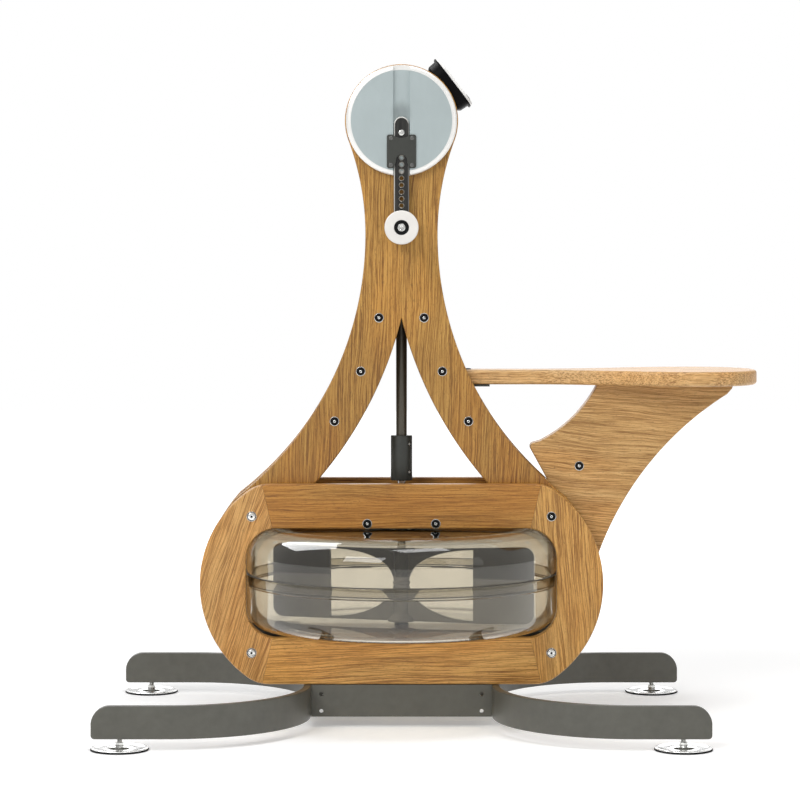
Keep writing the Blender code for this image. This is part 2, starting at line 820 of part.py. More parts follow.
def build_crank_bearings(machine):
    flange_back = upright_outer - unit_flange_thickness
    sleeve_end = flange_back - unit_sleeve_length
    bore = axle_radius + turning_gap
    for side, name in ((-1, "crank_bearing_front"), (1, "crank_bearing_rear")):
        profile = [
            (bore, sleeve_end), (unit_sleeve_radius, sleeve_end), (unit_sleeve_radius, flange_back),
            (unit_flange_radius, flange_back), (unit_flange_radius, upright_outer),
            (0.024, upright_outer), (0.022, upright_outer - 0.002), (bore, upright_outer - 0.002),
        ]
        profile = [(radius, side * depth) for radius, depth in profile]
        add_piece(name, turned(profile, unit_steps, "Y"), bright_steel(), machine, (0, 0, crank_height))


def build_cranks(machine):
    crank = pivot("crank_axis", (0.0, 0.0, crank_height), machine)
    axle_end = disc_back + axle_seat
    add_piece("crank_axle", rod(axle_radius, -axle_end, axle_end, 20, "Y"), bright_steel(), crank)
    build_crown_gear(crank)
    for side, place in ((-1, "front"), (1, "rear")):
        build_disc(crank, side, place)
        build_clamp(crank, side, place)
        build_arm(crank, side, place)


def build_crown_gear(crank):
    """The large gear on the axle. One tooth points straight down into the pinion."""
    radius, height, cone = gear_cone(crown_teeth, pinion_teeth)
    back = upright_inner - 0.0015
    shape = bevel_gear(crown_teeth, pinion_teeth, back, math.pi / 2)
    bmesh.ops.rotate(shape, verts=shape.verts, cent=(0, 0, 0), matrix=Matrix.Rotation(-math.pi / 2, 3, "X"))
    gear = add_piece("crown_gear", shape, dark_steel(), crank)
    hub = rod(crown_hub_radius, 0.010, back, 20, "Y")
    use_tool(gear, add_piece("join_crown_hub", hub, None, crank), "UNION")
    bore = rod(axle_radius + fit_gap, -0.01, back + 0.01, 20, "Y")
    use_tool(gear, add_piece("cut_crown_bore", bore, None, crank))


def build_disc(crank, side, place):
    """A turned disc with a milled channel for the crank arm and a bore for the axle behind."""
    boss_back = disc_back - disc_running_gap + turning_gap
    profile = [
        (0.0, boss_back), (0.018, boss_back), (0.018, disc_back), (disc_radius - 0.002, disc_back),
        (disc_radius, disc_back + 0.002), (disc_radius, disc_front - disc_rim_drop),
        (disc_radius - disc_rim_width * 0.35, disc_front - disc_rim_drop * 0.3),
        (disc_radius - disc_rim_width, disc_front), (0.0, disc_front),
    ]
    profile = [(radius, side * depth) for radius, depth in profile]
    disc = add_piece("crank_disc_" + place, turned(profile, 40, "Y"), turned_aluminium(), crank)
    half = channel_width / 2
    reach = disc_radius + 0.01
    low, high = depth_range(side, channel_floor, disc_front + 0.01)
    channel = prism([(-half, -reach), (half, -reach), (half, reach), (-half, reach)], low, high)
    use_tool(disc, add_piece("cut_channel_" + place, channel, None, crank))
    low, high = depth_range(side, boss_back - 0.01, disc_back + axle_seat + fit_gap)
    use_tool(disc, add_piece("cut_axle_seat_" + place, rod(axle_radius + fit_gap, low, high, 20, "Y"), None, crank))


def build_clamp(crank, side, place):
    """The plate that holds the arm in its channel: hollowed at the top, arched at the bottom."""
    half = clamp_width / 2
    corner = clamp_corner
    top = -clamp_top
    bottom = -clamp_bottom
    hollow = arm_width / 2 + 0.002
    hollow_radius = (hollow ** 2 + clamp_hollow ** 2) / (2 * clamp_hollow)
    right = arc_between((0.0, top - clamp_hollow), (hollow, top), hollow_radius, 4, 1)
    right += arc((half - corner, top - corner), corner, 90, 0, 2)
    right += arc((half - corner, bottom + corner), corner, 0, -90, 2)
    spring_line = bottom + clamp_arch_height - clamp_arch_radius
    flare = arm_width / 2 + 0.001
    right += [(flare, bottom), (flare - 0.0024, bottom + 0.004), (clamp_arch_radius + 0.0003, spring_line - 0.003)]
    right += arc((0.0, spring_line), clamp_arch_radius, 0, 90, 4)
    outline = right + mirrored(right[1:-1])
    low, high = depth_range(side, clamp_back, clamp_front)
    add_piece("clamp_plate_" + place, prism(outline, low, high), painted_steel(), crank)


def build_arm(crank, side, place):
    """The crank arm slides in the disc's channel. Its grip turns on a pin at the lower end."""
    slide = pivot("arm_slide_" + place, (0, 0, 0), crank)
    half = arm_width / 2
    outline = arc((0, arm_top_above_axle - half), half, 0, 180, 8)
    outline += arc((0, -crank_length), half, 180, 360, 8)
    low, high = depth_range(side, arm_back, arm_front)
    arm = add_piece("crank_arm_" + place, prism(outline, low, high), dark_steel(), slide)
    places = [(0.0, -first_setting_hole - setting_pitch * number) for number in range(setting_holes)]
    low, high = depth_range(side, arm_back - 0.01, arm_front + 0.01)
    use_tool(arm, add_piece("cut_settings_" + place, pegs(places, setting_hole_radius, low, high, 8), None, slide))
    seat = pegs([(0.0, -crank_length)], grip_pin_radius + fit_gap, low, high, 16)
    use_tool(arm, add_piece("cut_pin_seat_" + place, seat, None, slide))
    build_grip(slide, side, place)


def build_grip(slide, side, place):
    axis = (0.0, 0.0, -crank_length)
    bush_start = grip_start
    grip_end = grip_start + grip_length
    shoulder = arm_front + fit_gap
    pin = [
        (0.0, arm_back + 0.001), (grip_pin_radius, arm_back + 0.001), (grip_pin_radius, shoulder),
        (0.010, shoulder), (0.010, grip_start - turning_gap), (grip_pin_radius, grip_start - turning_gap),
        (grip_pin_radius, grip_end + 0.002), (0.0, grip_end + 0.002),
    ]
    pin = [(radius, side * depth) for radius, depth in pin]
    add_piece("grip_pin_" + place, turned(pin, 16, "Y"), bright_steel(), slide, axis)
    grip_pivot = pivot("grip_axis_" + place, axis, slide)
    bore = grip_pin_radius + fit_gap
    bush = [(bore, bush_start), (grip_bush_radius, bush_start), (grip_bush_radius, grip_end), (bore, grip_end)]
    bush = [(radius, side * depth) for radius, depth in bush]
    add_piece("grip_bush_" + place, turned(bush, 16, "Y"), black_rubber(), grip_pivot)
    bore = grip_bush_radius + fit_gap
    flange = grip_flange_thickness
    middle = (grip_start + grip_end) / 2
    grip = [
        (bore, grip_start), (grip_flange_radius - 0.0015, grip_start), (grip_flange_radius, grip_start + 0.0015),
        (grip_flange_radius, grip_start + flange - 0.0015), (grip_body_radius, grip_start + flange + 0.004),
        (grip_body_radius + 0.0015, middle), (grip_body_radius, grip_end - flange - 0.004),
        (grip_flange_radius, grip_end - flange + 0.0015), (grip_flange_radius, grip_end - 0.0015),
        (grip_flange_radius - 0.0015, grip_end), (bore, grip_end),
    ]
    grip = [(radius, side * depth) for radius, depth in grip]
    add_piece("grip_" + place, turned(grip, 20, "Y"), white_plastic(), grip_pivot)


def build_head_cover(machine):
    """Sheet steel bent round the head between the uprights, with its lower ends down the neck."""
    cover_bottom = crank_height - cover_drop
    outer = upright_outline(cover_inset, cover_bottom)
    inner = upright_outline(cover_inset + cover_thickness, cover_bottom)
    outline = mirrored(outer)[:-1] + outer + list(reversed(inner)) + [(-x, z) for x, z in inner[1:]]
    reach = upright_inner - fit_gap
    add_piece("head_cover", prism(outline, -reach, reach), painted_steel(), machine)


def rounded_plate(half_long, half_wide, corner):
    """A rectangle with four round corners, centred on the origin."""
    points = []
    for turn, (across, deep) in enumerate(((1, 1), (-1, 1), (-1, -1), (1, -1))):
        centre = (across * (half_long - corner), deep * (half_wide - corner))
        points += arc(centre, corner, 90 * turn, 90 * turn + 90, 4)
    return points


def build_monitor(machine):
    """The display sits on the head's rim and faces up towards the seat. Local +Z is outwards."""
    tilt = math.radians(90 - monitor_angle)
    base = pivot("monitor_place", (0, 0, crank_height), machine, (0.0, tilt, 0.0))
    rim = head_radius + fit_gap
    lean = math.degrees(math.asin(monitor_back_half / rim))
    face = monitor_face_distance
    flange_back = face - monitor_flange_thickness
    right = arc((0, 0), rim, 90, 90 - lean, 5)
    right += [(monitor_body_half - 0.001, monitor_shoulder), (monitor_body_half, flange_back)]
    right += [(monitor_flange_half, flange_back), (monitor_flange_half, face)]
    outline = right + mirrored(right[1:])
    deep = monitor_half_depth
    housing = add_piece("monitor_housing", prism(outline, -deep - 0.01, deep + 0.01), dark_plastic(), base)
    plan = rounded_plate(monitor_flange_half + fit_gap, deep, monitor_corner)
    trim = prism(plan, head_radius * 0.5, face + 0.01, "Z")
    use_tool(housing, add_piece("trim_monitor_corners", trim, None, base), "INTERSECT")
    panel_low = face + fit_gap
    panel_high = panel_low + panel_thickness
    tall = monitor_flange_half - panel_inset
    panel_outline = rounded_plate(tall, deep - panel_inset, monitor_corner - panel_inset)
    panel = add_piece("monitor_panel", prism(panel_outline, panel_low, panel_high, "Z"), white_plastic(), base)
    places = [(button_row, -button_spread), (button_row, button_spread)]
    holes = pegs(places, button_radius + 2 * fit_gap, panel_low - 0.003, panel_high + 0.003, 16, "Z")
    use_tool(panel, add_piece("cut_button_holes", holes, None, base))
    for name, (across, deep) in (("monitor_button_front", places[0]), ("monitor_button_rear", places[1])):
        button_axis = pivot(name + "_axis", (across, deep, panel_high), base)
        profile = [
            (0.0, button_travel + fit_gap - panel_thickness), (button_radius, button_travel + fit_gap - panel_thickness),
            (button_radius, button_reach - 0.0006), (button_radius - 0.001, button_reach), (0.0, button_reach),
        ]
        add_piece(name, turned(profile, 16), black_rubber(), button_axis)


def seat_half_width_at(x):
    """Half width of the seat board: narrow nose, smooth flare, round end."""
    flare = min(1.0, max(0.0, (x - seat_flare_start) / (seat_flare_end - seat_flare_start)))
    half = seat_nose_half_width + (seat_half_width - seat_nose_half_width) * flare * flare * (3 - 2 * flare)
    over = (x - seat_flare_end) / (seat_end - seat_flare_end)
    if over > 0:
        half *= math.sqrt(max(0.0, 1 - over ** 2.4))
    return half


def rib_face(z, away=0.0):
    """How far out the right leg spacer's outer face is at a height, or a face parallel to it."""
    radius = neck_arc_radius + (leg_width - spacer_rib_width) / 2 - away
    return arc_centre_x - math.sqrt(radius ** 2 - (arc_centre_z - z) ** 2)


def seat_nose():
    return rib_face(seat_bottom) + seat_nose_gap


def build_seat(machine):
    sides = [seat_nose(), seat_flare_start]
    sides += [seat_flare_start + (seat_flare_end - seat_flare_start) * step / 7 for step in range(1, 8)]
    sides += [seat_flare_end + (seat_end - seat_flare_end) * math.sin(math.radians(15 * step)) for step in range(1, 6)]
    lower = [(x, -seat_half_width_at(x)) for x in sides]
    outline = lower + [(seat_end, 0.0)] + [(x, -y) for x, y in reversed(lower)]
    nose_edge = (len(outline) - 1,)
    shape = prism(outline, seat_bottom, seat_top, "Z", 0.004, nose_edge, 2)
    add_piece("seat_board", shape, oak(), machine)
    build_gusset(machine)
    build_seat_bracket(machine)


def build_gusset(machine):
    """The board under the seat: two concave edges, a nose, and a foot gripped between the uprights."""
    top = seat_bottom - fit_gap
    half = gusset_thickness / 2
    right_reach = seat_end - gusset_end_inset
    left_reach = corner_rod_reach + gusset_shoulder
    tail = (frame_half_length - gusset_tail_inset, window_top - gusset_tail_drop)
    outline = [(left_reach, top), (right_reach, top)]
    outline += [(right_reach - 0.002, top - 0.007)]
    outline += arc_between((right_reach - 0.010, top - 0.016), tail, gusset_arc_radius, 12, 1)
    side = tank_radius + seam_reach + 0.008
    back = corner_rod_reach - 0.020
    outline += [(tail[0] - 0.006, tail[1] - 0.010), (side, tail[1] - 0.010), (side, window_top + 0.007)]
    outline += [(back, window_top + 0.007), (back, frame_top - 0.0015), (corner_rod_reach - 0.004, frame_top + 0.0035)]
    nose_x = corner_rod_reach - gusset_nose_back
    nose_z = window_top + gusset_nose_lift
    outline += arc((nose_x + 0.008, nose_z - 0.002), 0.008, 205, 120, 3)
    neck = arc_between((nose_x + 0.016, nose_z + 0.008), (left_reach, top), gusset_neck_radius, 9, -1)
    outline += neck[:-1]
    gusset = add_piece("seat_gusset", prism(outline, -half, half, round_over=0.002), oak(), machine)
    hole = pegs([(corner_rod_reach, corner_rod_height)], rod_radius + fit_gap, -half - 0.01, half + 0.01, 16)
    use_tool(gusset, add_piece("cut_gusset_rod", hole, None, machine))


def build_seat_bracket(machine):
    """A folded plate: level under the seat's nose, then down along the right leg's spacer."""
    top = seat_bottom - fit_gap
    thick = bracket_thickness
    low = top - bracket_drop
    gap = bracket_gap
    reach = rib_face(top) + bracket_length
    outline = [(rib_face(top, gap), top), (reach, top), (reach, top - thick)]
    outline += [(rib_face(top - thick, gap + thick), top - thick), (rib_face(low, gap + thick), low)]
    outline += [(rib_face(low, gap), low)]
    add_piece("seat_bracket", prism(outline, -0.028, 0.028), dark_steel(), machine)


def build_base(machine):
    centre_y = leg_half_spread - leg_bend_radius
    bend_x = leg_inner_reach + leg_bend_radius
    outer = arc((bend_x, centre_y), leg_bend_radius, 90, 180, 9)
    inner = arc((bend_x, centre_y), leg_bend_radius - bar_thickness, 180, 90, 9)
    outer = [(leg_reach, leg_half_spread)] + outer
    inner = inner + [(leg_reach, leg_half_spread - bar_thickness)]
    outline = outer + [(x, -y) for x, y in reversed(outer)]
    outline += [(x, -y) for x, y in reversed(inner)] + inner
    top = bar_bottom + bar_height
    silhouette = [(leg_inner_reach - 0.02, bar_bottom)]
    silhouette += arc((leg_reach - bar_bottom_round, bar_bottom + bar_bottom_round), bar_bottom_round, -90, 0, 2)
    silhouette += arc((leg_reach - bar_top_round, top - bar_top_round), bar_top_round, 0, 90, 5)
    silhouette += [(leg_inner_reach - 0.02, top)]
    for side, name in ((-1, "base_leg_left"), (1, "base_leg_right")):
        plan = [(side * x, y) for x, y in outline]
        view = [(side * x, z) for x, z in silhouette]
        leg = add_piece(name, prism(plan, bar_bottom - 0.01, top + 0.01, "Z"), painted_steel(), machine)
        deep = leg_half_spread + 0.02
        use_tool(leg, add_piece("trim_" + name, prism(view, -deep, deep), None, machine), "INTERSECT")
        places = [(side * (leg_reach - foot_inset), -foot_y()), (side * (leg_reach - foot_inset), foot_y())]
        holes = pegs(places, foot_stud_radius + fit_gap, bar_bottom - 0.01, foot_stud_top + screw_room, 12, "Z")
        use_tool(leg, add_piece("cut_stud_holes_" + name, holes, None, machine))
    build_base_plates(machine)


def foot_y():
    return leg_half_spread - bar_thickness / 2


def build_base_plates(machine):
    """A folded plate under each tank frame: web, ledge for the frame's bottom rail, two end tabs."""
    top = frame_bottom - fit_gap
    low = bar_bottom
    reach = leg_inner_reach - fit_gap
    relief = 0.008
    ledge = plate_depth - plate_flange
    for side, name in ((-1, "base_plate_front"), (1, "base_plate_rear")):
        shape = bmesh.new()
        front = side * plate_depth
        back = side * ledge
        web = [(-reach, low), (reach, low), (reach, top - relief), (reach, top), (-reach, top), (-reach, top - relief)]
        web_verts = [shape.verts.new((x, front, z)) for x, z in web]
        shape.faces.new(web_verts)
        inset = relief
        top_edge = [shape.verts.new((reach - inset, back, top)), shape.verts.new((-reach + inset, back, top))]
        shape.faces.new((web_verts[4], web_verts[3], top_edge[0], top_edge[1]))
        for first, second, x in ((1, 2, reach), (5, 0, -reach)):
            ends = [shape.verts.new((x, back, web[second][1])), shape.verts.new((x, back, web[first][1]))]
            shape.faces.new((web_verts[first], web_verts[second], ends[0], ends[1]))
        bmesh.ops.recalc_face_normals(shape, faces=shape.faces)
        centre = Vector((0, 0, (low + top) / 2))
        if shape.faces[0].normal.dot(Vector((0, side, 0))) < 0:
            for face in shape.faces:
                face.normal_flip()
        mesh = bpy.data.meshes.new(name)
        shape.to_mesh(mesh)
        shape.free()
        mesh.materials.append(painted_steel())
        plate = bpy.data.objects.new(name, mesh)
        bpy.context.scene.collection.objects.link(plate)
        plate.parent = machine
        fold = plate.modifiers.new("sheet", "SOLIDIFY")
        fold.thickness = plate_thickness
        fold.offset = -1
        fold.use_even_offset = True
        places = [(sign * plate_hole_reach, z) for sign in (-1, 1) for z in plate_hole_heights]
        inner, outer = depth_range(side, plate_depth - 0.012, plate_depth + 0.01)
        use_tool(plate, add_piece("cut_holes_" + name, pegs(places, plate_hole_radius, inner, outer, 10), None, machine))


def build_feet(machine):
    """Levelling feet: a dished pad under a stud that screws up into the leg's lower edge."""
    pad = foot_pad_thickness
    profile = [
        (0.0, 0.0), (foot_pad_radius - 0.001, 0.0), (foot_pad_radius, 0.001), (foot_pad_radius, pad - 0.001),
        (foot_pad_radius - 0.004, pad), (0.011, pad + 0.002), (foot_nut_radius, pad + 0.0035),
        (foot_nut_radius, bar_bottom - 0.0045), (foot_stud_radius, bar_bottom - 0.003),
        (foot_stud_radius, foot_stud_top), (0.0, foot_stud_top),
    ]
    for y_side, row in ((-1, "front"), (1, "rear")):
        for x_side, hand in ((-1, "left"), (1, "right")):
            name = "foot_" + row + "_" + hand
            place = (x_side * (leg_reach - foot_inset), y_side * foot_y(), 0)
            axis = pivot(name + "_axis", place, machine)
            add_piece(name, turned(profile, 16), bright_steel(), axis)


def main():
    clear_scene()
    machine = pivot("machine", (machine_shift, 0.0, 0.0))
    build_base(machine)
    build_feet(machine)
    build_frames(machine)
    build_uprights(machine)
    build_spacers(machine)
    build_tank(machine)
    build_tank_mounts(machine)
    build_drive(machine)
    build_shaft_bearing(machine)
    build_crank_bearings(machine)
    build_cranks(machine)
    build_head_cover(machine)
    build_monitor(machine)
    build_seat(machine)


main()
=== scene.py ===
import math

import bmesh
import bpy
import numpy as np
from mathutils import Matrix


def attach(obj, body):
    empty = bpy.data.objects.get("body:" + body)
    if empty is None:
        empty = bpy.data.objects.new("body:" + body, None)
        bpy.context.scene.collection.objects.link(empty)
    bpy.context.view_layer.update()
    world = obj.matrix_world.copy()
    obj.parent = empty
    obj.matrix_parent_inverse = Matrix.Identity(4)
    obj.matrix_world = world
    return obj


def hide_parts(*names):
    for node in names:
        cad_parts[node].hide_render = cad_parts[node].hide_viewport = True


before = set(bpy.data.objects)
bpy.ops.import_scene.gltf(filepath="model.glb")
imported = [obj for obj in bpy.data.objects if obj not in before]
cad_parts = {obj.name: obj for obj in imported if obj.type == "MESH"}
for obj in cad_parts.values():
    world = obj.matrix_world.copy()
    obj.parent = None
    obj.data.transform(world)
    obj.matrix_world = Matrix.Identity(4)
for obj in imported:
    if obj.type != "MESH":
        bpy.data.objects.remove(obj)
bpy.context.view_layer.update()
print("frame loaded,", len(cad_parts), "nodes")

middleX = -0.0515  # the crank axle's place along the machine
axleZ = 0.9915


class Wire:
    # a socket that can be used in sums: each operator adds one Math node
    def __init__(self, look, socket):
        self.look = look
        self.socket = socket

    def math(self, operation, *others):
        return self.look.node("ShaderNodeMath", {"operation": operation}, dict(enumerate((self,) + others)))

    def __add__(self, other):
        return self.math("ADD", other)

    def __mul__(self, other):
        return self.math("MULTIPLY", other)

    def __sub__(self, other):
        return self.math("SUBTRACT", other)

    def __rsub__(self, other):
        return self.look.node("ShaderNodeMath", {"operation": "SUBTRACT"}, {0: other, 1: self})

    def __truediv__(self, other):
        return self.math("DIVIDE", other)

    def fraction(self):
        return self.math("FRACT")

    def held(self):
        # kept between 0 and 1
        return self.math("MAXIMUM", 0.0).math("MINIMUM", 1.0)


class Look:
    # one material; node() makes any shader node and hands back one of its outputs
    def __init__(self, name):
        self.material = bpy.data.materials.new(name)
        self.material.use_nodes = True
        self.tree = self.material.node_tree
        self.shader = self.tree.nodes["Principled BSDF"]

    def node(self, kind, settings=None, values=None, output=0):
        made = self.tree.nodes.new(kind)
        for key, value in (settings or {}).items():
            if key == "stops":
                ramp = made.color_ramp
                while len(ramp.elements) < len(value):
                    ramp.elements.new(0.5)
                for element, (place, colour) in zip(ramp.elements, value):
                    element.position = place
                    element.color = (*colour, 1)
            else:
                setattr(made, key, value)
        for key, value in (values or {}).items():
            self.put(made.inputs[key], value)
        return Wire(self, made.outputs[output])

    def put(self, socket, value):
        if isinstance(value, Wire):
            self.tree.links.new(value.socket, socket)
        elif isinstance(value, (tuple, list)) and socket.type == "RGBA":
            socket.default_value = (*value[:3], 1)
        else:
            socket.default_value = value

    def surface(self, **values):
        names = {"colour": "Base Color", "roughness": "Roughness", "metal": "Metallic", "coat": "Coat Weight",
                 "coatRoughness": "Coat Roughness", "normal": "Normal", "ior": "IOR",
                 "transmission": "Transmission Weight", "specular": "Specular IOR Level"}
        for key, value in values.items():
            self.put(self.shader.inputs[names[key]], value)
        return self.material

    def place(self):
        return self.node("ShaderNodeTexCoord", output=3)

    def parts(self, vector):
        outputs = self.node("ShaderNodeSeparateXYZ", values={0: vector}).socket.node.outputs
        return [Wire(self, outputs[i]) for i in range(3)]

    def joined(self, x, y, z):
        return self.node("ShaderNodeCombineXYZ", values={0: x, 1: y, 2: z})

    def length(self, vector):
        return self.node("ShaderNodeVectorMath", {"operation": "LENGTH"}, {0: vector}, 1)

    def noise(self, vector, scale, detail=2.0, roughness=0.5):
        return self.node("ShaderNodeTexNoise", {}, {"Vector": vector, "Scale": scale, "Detail": detail,
                                                    "Roughness": roughness})

    def field(self, x, y, z, detail=2, roughness=0.5):
        # noise of a place whose sides are stretched one by one
        return self.noise(self.joined(x, y, z), 1.0, detail, roughness)

    def distance(self, x, y, z=0.0):
        return self.length(self.joined(x, y, z))

    def ramp(self, factor, *stops):
        return self.node("ShaderNodeValToRGB", {"stops": stops}, {0: factor})

    def shades(self, factor, colour, low, high):
        # the colour itself at the middle; low and high are (place, part of the colour)
        return self.ramp(factor, (low[0], scaled(colour, low[1])), (0.5, colour), (high[0], scaled(colour, high[1])))

    def step(self, factor, low, high):
        # 0 below low, 1 above high, smooth between
        return self.node("ShaderNodeMapRange", {"interpolation_type": "SMOOTHSTEP"}, {0: factor, 1: low, 2: high})

    def mix(self, factor, first, second, blend="MIX"):
        return self.node("ShaderNodeMix", {"data_type": "RGBA", "blend_type": blend},
                         {0: factor, 6: first, 7: second}, 2)

    def bump(self, height, strength, distance):
        return self.node("ShaderNodeBump", {}, {"Height": height, "Strength": strength, "Distance": distance})

    def rays(self, *names):
        outputs = self.node("ShaderNodeLightPath").socket.node.outputs
        return [Wire(self, outputs[name]) for name in names]

    def show(self, shader):
        self.tree.links.new(shader.socket, self.tree.nodes["Material Output"].inputs["Surface"])


def scaled(colour, part):
    # a darker or paler colour
    return [min(1.0, value * part) for value in colour]


def arcOf(centre, radius, start, end, steps):
    # centre + radius * (cos a, sin a) for evenly spaced angles a, in degrees
    angle = np.radians(np.linspace(start, end, steps + 1))
    return np.stack([centre[0] + radius * np.cos(angle), centre[1] + radius * np.sin(angle)], axis=1)


def flipped(outline):
    return outline[::-1] * [-1, 1]


def circlesCross(first, firstRadius, second, secondRadius, side):
    # the point at both radii, left (1) or right (-1) of the line between the centres
    first, second = np.array(first), np.array(second)
    gap = np.linalg.norm(second - first)
    along = (firstRadius ** 2 - secondRadius ** 2 + gap ** 2) / (2 * gap)
    across = side * math.sqrt(firstRadius ** 2 - along ** 2)
    unit = (second - first) / gap
    return first + along * unit + across * np.array([-unit[1], unit[0]])


def arcThrough(start, end, radius, steps, side):
    # the arc from start to end whose centre lies left (1) or right (-1) of them
    centre = circlesCross(start, radius, end, radius, side)
    first = math.degrees(math.atan2(start[1] - centre[1], start[0] - centre[0]))
    last = math.degrees(math.atan2(end[1] - centre[1], end[0] - centre[0]))
    last = first + (last - first + 180) % 360 - 180
    return arcOf(centre, radius, first, last, steps)


def rounded(corners, radius, steps=4):
    # rounds each inner corner of a polyline with the curve (1-t)^2 a + 2t(1-t) b + t^2 c
    corners = [np.array(c, dtype=float) for c in corners]
    result = [corners[0][None]]
    for before, here, after in zip(corners, corners[1:], corners[2:]):
        back, ahead = before - here, after - here
        reach = min(radius, np.linalg.norm(back) / 2.1, np.linalg.norm(ahead) / 2.1)
        start = here + back / np.linalg.norm(back) * reach
        end = here + ahead / np.linalg.norm(ahead) * reach
        t = np.linspace(0, 1, steps + 1)[:, None]
        result.append((1 - t) ** 2 * start + 2 * t * (1 - t) * here + t ** 2 * end)
    result.append(corners[-1][None])
    return np.concatenate(result)


def gridFaces(rows, columns, closedRows=False, closedColumns=True):
    # quads between neighbouring rows and columns of a grid of points
    i, j = np.meshgrid(np.arange(rows if closedRows else rows - 1),
                       np.arange(columns if closedColumns else columns - 1), indexing="ij")
    k, m = (i + 1) % rows, (j + 1) % columns
    quads = np.stack([i * columns + j, i * columns + m, k * columns + m, k * columns + j], axis=-1)
    return quads.reshape(-1, 4).tolist()


def joinedShapes(shapes):
    # several (points, faces) shapes as one
    points, faces, count = [], [], 0
    for shapePoints, shapeFaces in shapes:
        points.append(shapePoints)
        faces.extend([[corner + count for corner in face] for face in shapeFaces])
        count += len(shapePoints)
    return np.concatenate(points), faces


def newMesh(name, points, faces):
    # doubled points merged, then faces turned outwards, shape by shape
    mesh = bpy.data.meshes.new(name)
    mesh.from_pydata(np.asarray(points).tolist(), [], faces)
    shape = bmesh.new()
    shape.from_mesh(mesh)
    bmesh.ops.remove_doubles(shape, verts=shape.verts, dist=1e-7)
    bmesh.ops.dissolve_degenerate(shape, edges=shape.edges, dist=1e-7)
    bmesh.ops.recalc_face_normals(shape, faces=shape.faces)
    if shape.calc_volume(signed=True) < 0:
        bmesh.ops.reverse_faces(shape, faces=shape.faces)
    shape.to_mesh(mesh)
    shape.free()
    return mesh


def linked(name, data):
    # a new object in the scene
    made = bpy.data.objects.new(name, data)
    bpy.context.scene.collection.objects.link(made)
    return made


def meshPiece(name, points, faces, look, body, slotName, replaced=(), sharp=35, even=True, cutter=None):
    # makes the mesh, cuts holes with a passing tool shape, and hands the piece to its body
    mesh = newMesh(name, points, faces)
    piece = linked(name, mesh)
    if cutter is not None:
        toolMesh = newMesh("cutter", *cutter)
        tool = linked("cutter", toolMesh)
        cut = piece.modifiers.new("cut", "BOOLEAN")
        cut.solver = "EXACT"
        cut.object = tool
        bpy.context.view_layer.update()
        carved = bpy.data.meshes.new_from_object(piece.evaluated_get(bpy.context.evaluated_depsgraph_get()))
        piece.modifiers.remove(cut)
        piece.data = carved
        bpy.data.objects.remove(tool)
        bpy.data.meshes.remove(toolMesh)
        bpy.data.meshes.remove(mesh)
        mesh = carved
        mesh.name = name
    mesh.shade_smooth()
    mesh.set_sharp_from_angle(angle=math.radians(sharp))
    mesh.materials.clear()
    mesh.materials.append(look)
    if even:
        piece.modifiers.new("evenShading", "WEIGHTED_NORMAL").keep_sharp = True
    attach(piece, body)
    if replaced:
        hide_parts(*replaced)
    return piece


def insetSteps(outline, amounts):
    # moves each point so that its two edges go in by their own amounts: solves v.n1 = d1 and v.n2 = d2
    ahead = np.roll(outline, -1, axis=0) - outline
    ahead /= np.linalg.norm(ahead, axis=1, keepdims=True)
    area = np.sum(outline[:, 0] * np.roll(outline[:, 1], -1) - np.roll(outline[:, 0], -1) * outline[:, 1])
    normal = np.stack([-ahead[:, 1], ahead[:, 0]], axis=1) * np.sign(area)
    before = np.roll(normal, 1, axis=0)
    amountBefore = np.roll(amounts, 1)
    cross = before[:, 0] * normal[:, 1] - before[:, 1] * normal[:, 0]
    flat = np.abs(cross) < 0.02
    safe = np.where(flat, 1.0, cross)
    vx = (amountBefore * normal[:, 1] - amounts * before[:, 1]) / safe
    vz = (amounts * before[:, 0] - amountBefore * normal[:, 0]) / safe
    middle = (before + normal) / 2 * ((amountBefore + amounts) / 2)[:, None]
    return np.where(flat[:, None], middle, np.stack([vx, vz], axis=1))


def stackPoints(outline, rings, flush=None):
    # rings of the outline, each (depth, inset), joined by quads and closed by two flat faces;
    # flush edges keep their full width
    outline = np.asarray(outline, dtype=float)
    amounts = np.ones(len(outline))
    if flush is not None:
        amounts[flush] = 0.0
    shift = insetSteps(outline, amounts)
    rows = [np.column_stack([outline + shift * inset, np.full(len(outline), depth)]) for depth, inset in rings]
    return closedStack(np.concatenate(rows), len(rings), len(outline))


def closedStack(points, rows, columns):
    # rings of points joined by quads, with a face over the first ring and one over the last
    faces = gridFaces(rows, columns)
    faces.append(list(range(columns))[::-1])
    faces.append([(rows - 1) * columns + i for i in range(columns)])
    return points, faces


def boardPoints(outline, low, high, roundOver, flush=None, steps=4):
    # a quarter round at each face: inset = r (1 - cos t), depth = r (1 - sin t)
    angle = np.linspace(0, math.pi / 2, steps + 1)
    rise, drop = roundOver * (1 - np.sin(angle)), roundOver * (1 - np.cos(angle))
    lower = [(low + rise[i], drop[i]) for i in range(steps, -1, -1)]
    return stackPoints(outline, lower + [(high - rise[i], drop[i]) for i in range(steps + 1)], flush)


def standing(points, side=1):
    # (x, z, depth) as something that stands, in the row frame
    return np.column_stack([points[:, 0] + middleX, side * points[:, 2], points[:, 1]])


def lying(points):
    return np.column_stack([points[:, 0] + middleX, points[:, 1], points[:, 2]])


